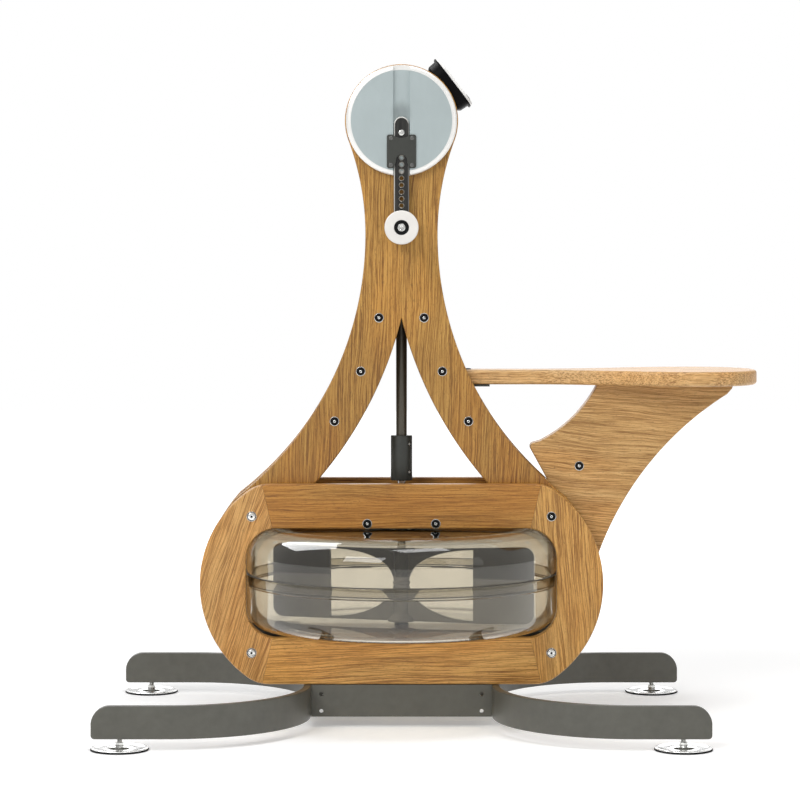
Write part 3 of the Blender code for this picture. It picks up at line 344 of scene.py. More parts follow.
def turnedPoints(profile, steps, wave=None):
    # a profile of (radius, height) carried round an axis: x = r cos a, y = r sin a, z = h; a wave scales
    # the radius of the rows that it is given for, by angle
    profile = np.asarray(profile, dtype=float)
    angle = np.arange(steps) * 2 * math.pi / steps
    radius = np.repeat(profile[:, 0:1], steps, axis=1)
    if wave is not None:
        radius = radius * wave(angle)
    z = np.repeat(profile[:, 1:2], steps, axis=1)
    points = np.stack([radius * np.cos(angle), radius * np.sin(angle), z], axis=-1).reshape(-1, 3)
    onAxis = profile[0][0] == 0 and profile[-1][0] == 0
    return points, gridFaces(len(profile), steps, closedRows=not onAxis)


def hexWave(rows):
    # rows marked 1 become hexagons whose flats are at that radius: 1 / cos(distance to the nearest flat)
    marked = np.array(rows, dtype=float)[:, None]

    def wave(angle):
        turn = (angle + math.pi / 6) % (math.pi / 3) - math.pi / 6
        return 1 + marked * (1 / np.cos(turn) - 1)[None, :]
    return wave


def along(points, axis, place):
    # an axis of "Z", "Y" or "-Y", or three directions, for a shape that was made about Z
    x, y, z = points.T
    if not isinstance(axis, str):
        points = points @ np.array(axis)
    elif axis == "Y":
        points = np.stack([x, z, y], axis=1)
    elif axis == "-Y":
        points = np.stack([x, -z, y], axis=1)
    return points + np.array(place)


def turnedShape(profile, steps, place, axis, wave=None):
    # a turned shape laid along its axis at its place
    points, faces = turnedPoints(profile, steps, wave)
    return along(points, axis, place), faces


def turnedPiece(name, profile, steps, place, axis, look, body, slotName, replaced=(), sharp=35, even=False,
                wave=None, cutter=None):
    shape = turnedShape(profile, steps, place, axis, wave)
    return meshPiece(name, *shape, look, body, slotName, replaced, sharp, even, cutter)


def rod(radius, low, high, bevel=0.0):
    # the profile of a plain cylinder, or of one with bevelled ends
    if bevel:
        return [(0, low), (radius - bevel, low), (radius, low + bevel), (radius, high - bevel), (radius - bevel, high),
                (0, high)]
    return [(0, low), (radius, low), (radius, high), (0, high)]


# boards differ in tone as they do on the machine: middle colour, grain angle, centre of the growth rings, spread
# of the rings along the grain, and what else a board has of its own
oakBoards = {
    "oakTopRail": ((0.366, 0.169, 0.031), 0, (0.02, 0.335), 0.06, {"wavy": 0.6, "contrast": 0.95}),
    "oakBottomRail": ((0.555, 0.289, 0.073), 1, (-0.06, 0.103), 0.07, {"wavy": 0.8, "contrast": 1.2}),
    "oakRightEnd": ((0.494, 0.267, 0.071), 94, (0.20, 0.24), 0.10, {"wavy": 1.2, "contrast": 1.15}),
    "oakLeftEnd": ((0.535, 0.284, 0.085), 72, (-0.33, 0.20), 0.16, {"wavy": 1.5}),
    # the uprights are painted paler above a height: painted light, where the neck is lit more
    "oakUpright": ((0.345, 0.172, 0.034), 88, (0.02, 0.50), 0.07, {"contrast": 1.1, "paleAbove": 0.56}),
    "oakUprightRear": ((0.345, 0.172, 0.034), 92, (-0.05, 0.62), 0.08, {"contrast": 1.1, "paleAbove": 0.56}),
    "oakGusset": ((0.525, 0.301, 0.103), -3, (0.36, 0.62), 0.12, {"wavy": 1.1, "contrast": 0.95}),
    "oakRib": ((0.32, 0.165, 0.045), 60, (0.1, 0.5), 0.1, {}),
    "oakSeat": ((0.56, 0.330, 0.126), 1, (0.30, 0.012), 0.09, {"lyingBoard": True})}
# how strongly each kind of mark changes the tone, and the rings' distance, the gloss, and the rise and tint of the
# painted light on the uprights' upper part
oakGrain = {"rings": 0.26, "zone": 0.34, "lines": 0.42, "middle": 0.35, "fine": 1.05, "slow": 0.35, "pores": 0.62,
            "ringPitch": 0.0072, "sheen": 0.43, "paintedLightRise": 0.16, "paintedLightTint": (1.24, 1.28, 1.34)}


def oakLook(name, colour, angle, centre, spread, wavy=1.0, lyingBoard=False, contrast=1.0, paleAbove=None):
    # growth rings are distances from a long ellipse's centre, stretched along the grain and bent by slow noise;
    # streaks are noise stretched along the grain at three widths; pores are short dark strokes in the early wood
    look = Look(name)
    x, y, z = look.parts(look.place())
    first, second, depth = (x, y, z - 0.55) if lyingBoard else (x, z, y)
    turn = math.radians(angle)
    first = first - (centre[0] + middleX)
    second = second - centre[1]
    length = first * math.cos(turn) + second * math.sin(turn)
    width = second * math.cos(turn) - first * math.sin(turn)
    slow = look.field(length * 1.8, width * 8, depth * 8)
    sway = look.field(length * 8, width * 30, depth * 30)
    bent = width + (slow - 0.5) * (0.045 * wavy) + (sway - 0.5) * (0.010 * wavy)
    reach = look.distance(length * spread, bent, depth * 0.6 + 0.02)
    ring = (reach / oakGrain["ringPitch"] + (slow - 0.5) * 2.4).fraction()
    band = look.ramp(ring, (0.0, (0.50,) * 3), (0.14, (0.12,) * 3), (0.40, (0.55,) * 3), (0.80, (0.95,) * 3),
                     (1.0, (0.50,) * 3))
    zone = look.field(length * 2.6, bent * 62, depth * 62, 2, 0.55)
    fade = look.step(zone, 0.36, 0.64)
    middle = look.field(length * 10, bent * 660, depth * 660, 3, 0.62)
    fine = look.field(length * 40, bent * 950, depth * 950, 2, 0.65)
    warmth = look.field(length * 3.5, bent * 17, depth * 17)
    pores = look.field(length * 150, bent * 850, depth * 850, 2, 0.6)
    pore = look.step(pores, 0.58, 0.66)
    lines = look.step(middle, 0.40, 0.60)
    tone = (band - 0.6) * fade * (oakGrain["rings"] * contrast)
    for kind, marks in (("zone", zone), ("lines", lines), ("middle", middle), ("fine", fine)):
        tone = tone + (marks - 0.5) * (oakGrain[kind] * contrast)
    tone = tone + (slow - 0.5) * oakGrain["slow"] + 0.53
    dark = [value * part for value, part in zip(colour, (0.46, 0.37, 0.27))]
    light = [min(1.0, value * part) for value, part in zip(colour, (1.36, 1.50, 1.85))]
    base = look.ramp(tone, (0.12, dark), (0.5, colour), (0.9, light))
    base = look.mix(look.step(warmth, 0.40, 0.66) * 0.75, base, (1.04, 0.91, 0.72), "MULTIPLY")
    painted = look.mix(pore * (1 - band * 0.5) * oakGrain["pores"], base, scaled(colour, 0.30))
    # painted light: the board is paler above a height, where the uprights are lit more
    if paleAbove is not None:
        pale = look.step(z, paleAbove, paleAbove + oakGrain["paintedLightRise"])
        painted = look.mix(pale, painted, oakGrain["paintedLightTint"], "MULTIPLY")
    height = fine * 0.4 + (1 - pore) * 0.6
    return look.surface(colour=painted, roughness=fine * 0.18 + (oakGrain["sheen"] - 0.07), coat=0.10,
                        coatRoughness=0.32, specular=0.38, normal=look.bump(height, 0.16, 0.0004))


oak = {name: oakLook(name, *values, **others) for name, (*values, others) in oakBoards.items()}
print("oak looks made")


# metal and plastic finishes: colour, roughness, metal
finishes = {"basePaint": ((0.085, 0.083, 0.068), 0.44, 0.0), "clampPaint": ((0.026, 0.028, 0.023), 0.44, 0.1),
            "disc": ((0.40, 0.458, 0.462), 0.36, 0.72), "cast": ((0.42, 0.43, 0.42), 0.45, 0.8),
            "arm": ((0.015, 0.0145, 0.013), 0.36, 0.40), "gear": ((0.13, 0.13, 0.125), 0.35, 0.9),
            "shaft": ((0.075, 0.067, 0.050), 0.34, 0.45),
            "chrome": ((0.80, 0.80, 0.79), 0.14, 1.0), "zinc": ((0.60, 0.60, 0.58), 0.24, 1.0),
            "blackened": ((0.004, 0.004, 0.004), 0.40, 0.0), "grip": ((0.78, 0.755, 0.715), 0.42, 0.0),
            "housing": ((0.003, 0.003, 0.0035), 0.46, 0.0), "panel": ((0.80, 0.79, 0.77), 0.38, 0.0),
            "screen": ((0.010, 0.012, 0.014), 0.08, 0.0), "rubber": ((0.009, 0.009, 0.009), 0.68, 0.0),
            "paddle": ((0.020, 0.020, 0.019), 0.30, 0.0), "support": ((0.012, 0.012, 0.011), 0.55, 0.0),
            "gasket": ((0.055, 0.05, 0.042), 0.5, 0.0), "tank": ((0.567, 0.534, 0.458), 0.0, 0.0)}
# colours of painted highlights, of wear (bare metal), and of painted light on the lower blades with the height it
# starts at; and the tank's index of refraction
wearAndPaintedLight = {"discRimHighlight": (0.80, 0.795, 0.77), "armEdgeHighlight": (0.62, 0.61, 0.58), "armCone": (0.40, 0.38, 0.34),
        "lowerBladeLight": (0.195, 0.195, 0.186), "lowerLightHeight": 0.2375, "tankIor": 1.46}


def mottledLook(name, kind, scale=60.0, change=0.10, grain=900.0, depth=0.00012, strength=0.25, **others):
    # a slow change of tone, a slower one of gloss, and a fine grain in relief
    colour, roughness, metal = finishes[kind]
    look = Look(name)
    where = look.place()
    cloud = look.noise(where, scale, 3, 0.55)
    soft = look.noise(where, scale * 0.22, 2)
    rough = look.noise(where, grain, 2, 0.6)
    tone = look.shades(cloud * 0.6 + soft * 0.4, colour, (0.25, 1 - change * 2), (0.75, 1 + change * 2))
    return look.surface(colour=tone, roughness=cloud * (roughness * 0.3) + roughness * 0.85, metal=metal,
                        normal=look.bump(rough, strength, depth), **others)


def brushedLook(name, kind, direction, width=1700.0, change=0.35, depth=0.00008, **others):
    # streaks: noise that is long in one direction and narrow in the others
    colour, roughness, metal = finishes[kind]
    look = Look(name)
    stretch = [9.0 if axis == direction else width for axis in "XYZ"]
    parts = look.parts(look.place())
    streak = look.field(*[part * size for part, size in zip(parts, stretch)], 3, 0.7)
    wide = look.field(*[part * (size * 0.16) for part, size in zip(parts, stretch)])
    tone = look.shades(streak * 0.55 + wide * 0.45, colour, (0.3, 1 - change), (0.72, 1 + change))
    return look.surface(colour=tone, roughness=streak * (roughness * 0.5) + roughness * 0.75, metal=metal,
                        normal=look.bump(streak, 0.3, depth), **others)


def discLook(name, centre, pitch=2600.0, change=0.05):
    # fine rings round the axle, as a lathe tool leaves them: noise of the distance from that axis; the rim is
    # painted pale as a painted highlight and is smoother, and painted shade darkens the channel just above the arm
    colour, roughness, metal = finishes["disc"]
    look = Look(name)
    x, y, z = look.parts(look.place())
    across, height = x - centre[0], z - centre[1]
    radius = look.distance(across, height)
    rings = look.field(radius * pitch, 0.0, 0.0, 2, 0.7)
    cloud = look.noise(look.place(), 26, 3)
    streaksAndShade = look.field(across * 90, height * 22, 0.0, 3)
    tone = look.shades(cloud * 0.45 + rings * 0.25 + streaksAndShade * 0.3, colour, (0.3, 1 - change), (0.7, 1 + change))
    # painted shade in the channel just above the arm's top, mottled by the streak noise
    near = 1 - look.step(look.distance(across * 1.25, height - 0.012), 0.006, 0.026)
    channelShade = look.mix(near * 0.85 * streaksAndShade.math("MAXIMUM", 0.5), tone, scaled(colour, 0.22))
    # painted highlight: the rim's edge is painted pale, less metallic and smoother
    edge = look.step(radius, crank["rim"] - 0.0004, crank["rim"] + 0.0004)
    painted = look.mix(edge, channelShade, wearAndPaintedLight["discRimHighlight"])
    return look.surface(colour=painted, roughness=rings * 0.10 + roughness - 0.05 - edge * 0.06,
                        metal=metal - edge * 0.45, normal=look.bump(rings, 0.12, 0.00005))


def armLook(name, centre, reach=0.0045):
    # dark brushed streaks; bare metal shows on the cone of each hole, at its distance from the nearest centre
    colour, roughness, metal = finishes["arm"]
    half, pitch = crank["armHalf"], crank["pitch"]
    look = Look(name)
    x, y, z = look.parts(look.place())
    streak = look.field(x * 1500, y * 1500, z * 9, 3, 0.7)
    wide = look.field(x * 380, y * 380, z * 12)
    tone = look.shades(streak * 0.5 + wide * 0.5, colour, (0.34, 0.45), (0.64, 2.3))
    steps = (centre[1] - crank["firstHole"] - z) / pitch
    inside = look.step(steps, -0.5, -0.49) * (1 - look.step(steps, crank["holes"] - 0.51, crank["holes"] - 0.5))
    nearest = (steps + 0.5 - (steps + 0.5).math("FLOOR") - 0.5) * pitch
    far = look.distance(x - centre[0], nearest)
    bare = inside * (1 - look.step(far, reach - 0.0001, reach + 0.0001))
    # painted highlight on the edge, paler on the left and over the round top: the distance from the arm's middle line,
    # which ends at the centres of its two round ends
    above = (z - (centre[1] - half + crank["armTop"])).math("MAXIMUM", 0.0)
    edgeHighlight = look.step(look.distance(x - centre[0], above), half - 0.0022, half - 0.0012)
    edgeHighlight = edgeHighlight * (above * 90 + 0.45 - (x - centre[0]) * 22).held()
    painted = look.mix(bare, look.mix(edgeHighlight, tone, wearAndPaintedLight["armEdgeHighlight"]), wearAndPaintedLight["armCone"])
    return look.surface(colour=painted, roughness=streak * 0.2 + roughness - 0.1, metal=bare * (1 - metal) + metal,
                        normal=look.bump(streak, 0.3, 0.00008))


def polishedLook(name, kind, scale=30.0, change=0.03):
    # no relief: a slow change of tone and of gloss
    colour, roughness, metal = finishes[kind]
    look = Look(name)
    cloud = look.noise(look.place(), scale, 3, 0.55)
    tone = look.shades(cloud, colour, (0.3, 1 - change), (0.7, 1 + change))
    return look.surface(colour=tone, roughness=cloud * (roughness * 0.4) + roughness * 0.8, metal=metal)


def paddleLook(name):
    # dark plastic; below a height the blades are painted a paler grey, painted light on their lower part
    colour, roughness, metal = finishes["paddle"]
    line = wearAndPaintedLight["lowerLightHeight"]
    look = Look(name)
    where = look.place()
    cloud = look.noise(where, 30, 3, 0.55)
    lowerLightMask = 1 - look.step(look.parts(where)[2] + (cloud - 0.5) * 0.003, line - 0.001, line + 0.001)
    tone = look.ramp(cloud, (0.3, scaled(colour, 0.9)), (0.7, scaled(colour, 1.1)))
    painted = look.mix(lowerLightMask * (cloud * 0.5 + 0.6).held(), tone, wearAndPaintedLight["lowerBladeLight"])
    return look.surface(colour=painted, roughness=lowerLightMask * 0.2 + roughness, metal=metal)


def tankLook(name):
    # smoky clear plastic with the faint waviness of a moulding and a few dull patches; it lets the lamps through
    colour, roughness, metal = finishes["tank"]
    look = Look(name)
    where = look.place()
    wave = look.noise(where, 5, 1)
    dull = look.noise(where, 45, 2, 0.6)
    tone = look.mix(look.step(dull, 0.35, 0.75), colour, scaled(colour, 0.965))
    look.surface(colour=tone, roughness=roughness, metal=metal, transmission=1.0, ior=wearAndPaintedLight["tankIor"],
                 normal=look.bump(wave, 0.04, 0.0004))
    clear = look.node("ShaderNodeBsdfTransparent", {}, {"Color": [value ** 0.5 for value in colour]})
    shadow = look.rays("Is Shadow Ray")[0]
    look.show(look.node("ShaderNodeMixShader", {}, {0: shadow, 1: Wire(look, look.shader.outputs[0]), 2: clear}))
    return look.material


basePaint = mottledLook("basePaint", "basePaint", 70, 0.10)
clampPaint = mottledLook("clampPaint", "clampPaint", 160, 0.08)
castMetal = mottledLook("castAluminium", "cast", 90, 0.08, 700, 0.0002)
gearMetal = mottledLook("gearSteel", "gear", 120, 0.1)
chrome = polishedLook("chrome", "chrome")
zinc = mottledLook("zincScrew", "zinc", 220, 0.06, 1400, 0.00004, 0.2)
blackened = mottledLook("blackScrew", "blackened", 220, 0.12, 1400, 0.00005, 0.2, specular=0.1)
gripWhite = mottledLook("gripPlastic", "grip", 45, 0.02, 1200, 0.00006, 0.2, specular=0.45)
housingBlack = mottledLook("housingPlastic", "housing", 120, 0.1, 1500, 0.0001, 0.3, specular=0.05)
panelWhite = mottledLook("panelPlastic", "panel", 60, 0.02, 1500, 0.00006, 0.2)
screenGlass = mottledLook("screenGlass", "screen", 40, 0.05, 200, 0.00001, 0.02, coat=0.6)
rubberBlack = mottledLook("blackRubber", "rubber", 90, 0.15, 1300, 0.0001, 0.35, specular=0.08)
paddlePlastic = paddleLook("paddlePlastic")
# painted shade: the tank's supports are near black, for the dark gap between the tank and the bottom rail
supportShadeBlack = mottledLook("supportShadeBlack", "support", 50, 0.1, 700, 0.0002, 0.3, specular=0.2)
gasketRubber = mottledLook("gasketRubber", "gasket", 60, 0.08)
shaftDark = brushedLook("drawnShaft", "shaft", "Z", 900, 0.2)
shaftBright = brushedLook("brightShaft", "zinc", "Z", 1500, 0.12)
tankClear = tankLook("smokyPlastic")
print("finishes made")


boards = {"thickness": 0.024, "gap": 0.068, "roundOver": 0.0026, "clear": 0.0003}
innerFace = boards["gap"] / 2
outerFace = innerFace + boards["thickness"]
frameNear = outerFace + boards["clear"]
frameFar = frameNear + boards["thickness"]

upright = {"headRadius": 0.093, "waist": 0.0594, "neckRadius": 0.4414, "legWidth": 0.0752, "footCornerX": 0.2699,
           "footCornerZ": 0.3745, "footEndX": 0.3035, "footEnd": 0.328, "footRound": 0.250, "flange": 0.0403,
           "flangeDepth": 0.0053, "sleeve": 0.0293, "forkX": 0.6267, "forkZ": 0.8220, "forkRadius": 0.6456}
# the neck's arc touches the head's circle, and the leg's arc leaves it at the waist, where both are upright;
# the leg's arc then passes through the foot's corner: R = (drop^2 + reach^2) / (2 reach)
waistZ = axleZ - math.sqrt((upright["neckRadius"] + upright["headRadius"]) ** 2
                           - (upright["neckRadius"] + upright["waist"]) ** 2)
legDrop, legReach = waistZ - upright["footCornerZ"], upright["footCornerX"] - upright["waist"]
legRadius = (legDrop ** 2 + legReach ** 2) / (2 * legReach)
legX, neckX = upright["waist"] + legRadius, upright["waist"] + upright["neckRadius"]


def uprightOutline():
    # head circle, neck arc, leg arc, round foot, concave inner arc up to the fork, then the same mirrored
    meeting = math.degrees(math.atan2(waistZ - axleZ, neckX))
    forkX, forkZ, forkRadius = upright["forkX"], upright["forkZ"], upright["forkRadius"]
    corner = 180 + math.degrees(math.asin(legDrop / legRadius))
    start = 180 + math.degrees(math.asin((forkZ - upright["footEnd"]) / forkRadius))
    apex = 180 + math.degrees(math.acos(forkX / forkRadius))
    right = np.concatenate([
        arcOf((0, axleZ), upright["headRadius"], 90, meeting, 48),
        arcOf((neckX, waistZ), upright["neckRadius"], 180 + meeting, 180, 20)[1:],
        arcOf((legX, waistZ), legRadius, 180, corner, 56)[1:],
        arcThrough((upright["footCornerX"], upright["footCornerZ"]), (upright["footEndX"], upright["footEnd"]),
                   upright["footRound"], 12, -1)[1:],
        arcOf((forkX, forkZ), forkRadius, start, apex, 40)])
    right[-1, 0] = 0.0
    return np.concatenate([right, flipped(right[1:-1])])


def makeUprights():
    # each board has a bore for the bearing's sleeve and a seat for its flange
    sleeve, flange, spare = upright["sleeve"], upright["flange"], 0.01
    seatLow, low, high = outerFace - upright["flangeDepth"], innerFace - spare, outerFace + spare
    bore = [(0, low), (sleeve, low), (sleeve, seatLow), (flange, seatLow), (flange, high), (0, high)]
    for side, name, axis, look in ((-1, "upright_front", "-Y", oak["oakUpright"]),
                                   (1, "upright_rear", "Y", oak["oakUprightRear"])):
        points, faces = boardPoints(uprightOutline(), innerFace, outerFace, boards["roundOver"])
        meshPiece("shaped_" + name, standing(points, side), faces, look, "machine", "oak", (name,),
                  cutter=turnedShape(bore, 64, (middleX, 0, axleZ), axis))


frameRing = {"halfLength": 0.32997, "bottom": 0.0695, "height": 0.327, "sideRound": 0.187, "cornerRound": 0.060,
             "windowHalf": 0.25397, "windowBottom": 0.145, "windowHeight": 0.179, "corner": 0.050,
             "jointOuter": 0.22797, "jointInner": 0.21097, "jointGap": 0.0003, "rodPlace": (0.24497, 0.344)}


def makeFrames():
    # each ring has bulging ends, a large arc between two corner arcs that it touches, and a rounded window;
    # it is parted along four slanted glue joints
    side, corner, inside = frameRing["sideRound"], frameRing["cornerRound"], frameRing["corner"]
    jointOuter, jointInner, half = frameRing["jointOuter"], frameRing["jointInner"], frameRing["jointGap"] / 2
    top, middle = frameRing["bottom"] + frameRing["height"], frameRing["bottom"] + frameRing["height"] / 2
    sideX, cornerZ = frameRing["halfLength"] - side, top - corner
    cornerX = sideX + math.sqrt((side - corner) ** 2 - (cornerZ - middle) ** 2)
    turn = math.degrees(math.atan2(cornerZ - middle, cornerX - sideX))
    windowX = frameRing["windowHalf"] - inside
    low = (windowX, frameRing["windowBottom"] + inside)
    high = (windowX, frameRing["windowBottom"] + frameRing["windowHeight"] - inside)
    upper, lower = (cornerX, cornerZ), (cornerX, 2 * middle - cornerZ)

    def cuts(shift):
        # the angles at which the joint, shifted, crosses the outer corner arc and the window's
        return [math.degrees(math.acos((reach + shift - centreX) / span))
                for reach, centreX, span in ((jointOuter, cornerX, corner), (jointInner, windowX, inside))]

    outer, inner = cuts(half)
    end = np.concatenate([arcOf(upper, corner, outer, turn, 14), arcOf((sideX, middle), side, turn, -turn, 44)[1:],
                          arcOf(lower, corner, -turn, -outer, 14)[1:], arcOf(low, inside, -inner, 0, 14),
                          arcOf(high, inside, 0, inner, 14)])
    outer, inner = cuts(-half)
    rails = []
    for sign, outside, window in ((1, upper, high), (-1, lower, low)):
        right = np.concatenate([arcOf(outside, corner, sign * 90, sign * outer, 4),
                                arcOf(window, inside, sign * inner, sign * 90, 3)])
        rails.append(np.concatenate([right, flipped(right)]))
    outlines = (("top_rail", rails[0], oak["oakTopRail"]), ("bottom_rail", rails[1], oak["oakBottomRail"]),
                ("right_end", end, oak["oakRightEnd"]), ("left_end", flipped(end), oak["oakLeftEnd"]))
    for side, place in ((-1, "front"), (1, "rear")):
        for name, outline, look in outlines:
            reach = np.abs(outline[:, 0])
            ahead = np.roll(reach, -1)
            flush = (np.abs(np.minimum(reach, ahead) - jointInner) < 0.001) & (
                np.abs(np.maximum(reach, ahead) - jointOuter) < 0.001)
            points, faces = boardPoints(outline, frameNear, frameFar, boards["roundOver"], flush)
            meshPiece("shaped_" + place + "_" + name, standing(points, side), faces, look, "machine", "oak",
                      (place + "_frame_" + name,))


seat = {"top": 0.581, "nose": 0.0995, "end": 0.589, "noseHalf": 0.030, "half": 0.110, "flareStart": 0.220,
        "flareEnd": 0.480, "edge": 0.0055}
gusset = {"left": 0.32447, "right": 0.549, "tail": (0.32597, 0.276), "bellyRadius": 0.520,
          "steps": [(0.31997, 0.266), (0.264, 0.266), (0.264, 0.331), (0.22497, 0.331), (0.22497, 0.395),
                    (0.24097, 0.400)],
          "shoulder": (0.22097, 0.453), "shoulderRadius": 0.008, "neck": (0.22897, 0.463), "neckRadius": 0.215,
          "half": 0.020, "edge": 0.0022, "hole": 0.0103}


def seatOutline():
    # half width: narrow nose, then a smooth step 3t^2 - 2t^3, times a rounded end (1 - u^2.4)^0.5
    start, flare, end = seat["flareStart"], seat["flareEnd"], seat["end"]
    x = np.concatenate([np.linspace(seat["nose"], start, 6)[:-1], np.linspace(start, flare, 30)[:-1],
                        flare + (end - flare) * np.sin(np.linspace(0, math.pi / 2, 28)[:-1])])
    t = np.clip((x - start) / (flare - start), 0, 1)
    half = seat["noseHalf"] + (seat["half"] - seat["noseHalf"]) * t * t * (3 - 2 * t)
    u = np.clip((x - flare) / (end - flare), 0, 1)
    half = half * np.sqrt(1 - u ** 2.4)
    lower = np.stack([x, -half], axis=1)
    return np.concatenate([lower, [[end, 0]], lower[::-1] * [1, -1]])


def makeSeat():
    low = seat["top"] - boards["thickness"]
    points, faces = boardPoints(seatOutline(), low, seat["top"], seat["edge"], steps=6)
    meshPiece("shaped_seat_board", lying(points), faces, oak["oakSeat"], "machine", "oak", ("seat_board",))
    # the gusset: flat top, softened tip, hollow outer edge, steps over the frame, round shoulder, hollow neck
    top, left, right = low - boards["clear"], gusset["left"], gusset["right"]
    outline = np.concatenate([
        [[left, top], [right, top], [right - 0.0005, top - 0.003], [right - 0.002, top - 0.007]],
        arcThrough((right - 0.010, top - 0.016), gusset["tail"], gusset["bellyRadius"], 44, 1), gusset["steps"],
        arcOf(gusset["shoulder"], gusset["shoulderRadius"], 205, 120, 8),
        arcThrough(gusset["neck"], (left, top), gusset["neckRadius"], 32, 1)[:-1]])
    points, faces = boardPoints(outline, -gusset["half"], gusset["half"], gusset["edge"])
    holeX, holeZ = frameRing["rodPlace"]
    hole = turnedShape(rod(gusset["hole"], -0.03, 0.03), 40, (middleX + holeX, 0, holeZ), "Y")
    meshPiece("shaped_seat_gusset", standing(points), faces, oak["oakGusset"], "machine", "oak", ("seat_gusset",),
              cutter=hole)


rib = {"half": 0.017, "start": 189, "end": 217, "edge": 0.0006}


def makeRibs():
    # a curved bar along each leg's middle, at the same centre as the leg's outer arc
    middle, half, start, end = legRadius + upright["legWidth"] / 2, rib["half"], rib["start"], rib["end"]
    right = np.concatenate([arcOf((legX, waistZ), middle - half, start, end, 30),
                            arcOf((legX, waistZ), middle + half, end, start, 30)])
    reach = innerFace - boards["clear"]
    for name, outline in (("leg_spacer_right", right), ("leg_spacer_left", flipped(right))):
        points, faces = boardPoints(outline, -reach, reach, rib["edge"], steps=2)
        meshPiece("shaped_" + name, standing(points), faces, oak["oakRib"], "machine", "oak", (name,))


makeUprights()
makeFrames()
makeSeat()
makeRibs()
print("boards made")


base = {"reach": 0.485, "halfSpread": 0.308, "innerReach": 0.148, "bend": 0.218, "bar": 0.012, "bottom": 0.017,
        "top": 0.0692, "topRound": 0.030, "bottomRound": 0.006, "edge": 0.0016, "stud": 0.0043, "footInset": 0.045}
foot = {"pad": 0.046, "rubber": 0.0022, "nut": 0.0068, "nutLow": 0.0074, "nutTop": 0.0125, "stud": 0.004,
        "studTop": 0.050}


def legPath():
    # a flat bar bent into a U: straight, quarter bend, straight across, quarter bend, straight
    reach, bend, half, tip = base["reach"], base["bend"], base["bar"] / 2, base["topRound"]
    bendX = base["innerReach"] + bend
    into = (1 - np.sin(np.linspace(0, math.pi / 2, 14)))[::-1][1:]
    straight = np.unique(np.concatenate([[reach - 0.0012], reach - tip * into,
                                         np.linspace(reach - tip, bendX, 3)[1:-1]]))[::-1]
    arm = np.stack([straight, np.full(len(straight), base["halfSpread"] - half)], axis=1)
    path = np.concatenate([arm, arcOf((bendX, base["halfSpread"] - bend), bend - half, 90, 180, 40)])
    return np.concatenate([path, path[::-1] * [1, -1]])


def legPoints():
    # at each place on the path a rounded rectangle stands across it, from the lower silhouette to the upper;
    # silhouettes are quarter rounds at the bar's ends: z = top - R (1 - cos), R sin = distance into the round
    path = legPath()
    ahead = np.gradient(path, axis=0)
    ahead /= np.linalg.norm(ahead, axis=1, keepdims=True)
    across = np.stack([ahead[:, 1], -ahead[:, 0]], axis=1)

    def fall(radius, most):
        into = np.clip(path[:, 0] - (base["reach"] - radius), 0, None) / radius
        return radius * (1 - np.sqrt(1 - np.clip(into, 0, most) ** 2))

    upper = base["top"] - fall(base["topRound"], 0.999)
    lower = base["bottom"] + fall(base["bottomRound"], 0.98)
    half, edge = base["bar"] / 2, base["edge"]
    angle = np.radians(np.concatenate([np.linspace(90 * turn, 90 * turn + 90, 5) for turn in range(4)]))
    signU, signV = np.repeat([1, -1, -1, 1], 5), np.repeat([1, 1, -1, -1], 5)
    u, v = signU * (half - edge) + edge * np.cos(angle), edge * np.sin(angle)
    reach = path[:, None, :] + across[:, None, :] * u[None, :, None]
    z = np.where(signV > 0, upper[:, None] - edge, lower[:, None] + edge) + v[None, :]
    return closedStack(np.concatenate([reach, z[:, :, None]], axis=2).reshape(-1, 3), *z.shape)


def makeFoot(name, body, centre):
    # rubber sole, dished pad, hexagonal nut and threaded stud, one on the other
    sole, pad, nut, stud = foot["rubber"], foot["pad"], foot["nut"], foot["stud"]
    nutLow, nutTop, studTop = foot["nutLow"], foot["nutTop"], foot["studTop"] - 0.0005
    ring = rounded([(0, 0), (pad, 0), (pad, sole), (0, sole)], 0.0007)
    dish = rounded([(0, sole), (pad - 0.0012, sole), (pad - 0.0012, 0.0042), (0.041, 0.0046), (0.033, 0.0034),
                    (0.024, 0.0034), (0.0165, 0.0062), (0.011, 0.0068), (0.0095, nutLow), (0, nutLow)], 0.0022, 5)
    hexagon = [(0, nutLow), (nut - 0.0010, nutLow), (nut - 0.0003, nutLow + 0.0006), (nut - 0.0003, nutTop - 0.0006),
               (nut - 0.0010, nutTop), (0, nutTop)]
    turns = np.arange(120)
    thread = np.stack([stud - 0.0002 - 0.0003 * (turns % 2), np.linspace(nutTop, studTop, len(turns))], axis=1)
    thread = np.concatenate([[[0, nutTop]], thread, [[0, studTop]]])
    turnedPiece(name + "_sole", ring, 96, centre, "Z", rubberBlack, body, "black_rubber")
    turnedPiece(name + "_pad", dish, 96, centre, "Z", chrome, body, "bright_steel", (name,))
    turnedPiece(name + "_nut", hexagon, 48, centre, "Z", zinc, body, "bright_steel", sharp=25,
                wave=hexWave([0, 0, 0.9, 0.9, 0, 0]))
    turnedPiece(name + "_stud", thread, 24, centre, "Z", zinc, body, "bright_steel", sharp=30)


def makeBase():
    footX, footY = base["reach"] - base["footInset"], base["halfSpread"] - base["bar"] / 2
    for side, hand in ((-1, "left"), (1, "right")):
        points, faces = legPoints()
        pegs = joinedShapes([turnedShape(rod(base["stud"], 0.01, 0.056), 24,
                                         (middleX + side * footX, depth * footY, 0), "Z") for depth in (-1, 1)])
        name = "base_leg_" + hand
        meshPiece("shaped_" + name, points * [side, 1, 1] + [middleX, 0, 0], faces, basePaint, "machine",
                  "painted_steel", (name,), cutter=pegs)
    for place, depth in (("front", -1), ("rear", 1)):
        for hand, side in (("left", -1), ("right", 1)):
            makeFoot("foot_" + place + "_" + hand, place + "_" + hand + "_foot",
                     (middleX + side * footX, depth * footY, 0))


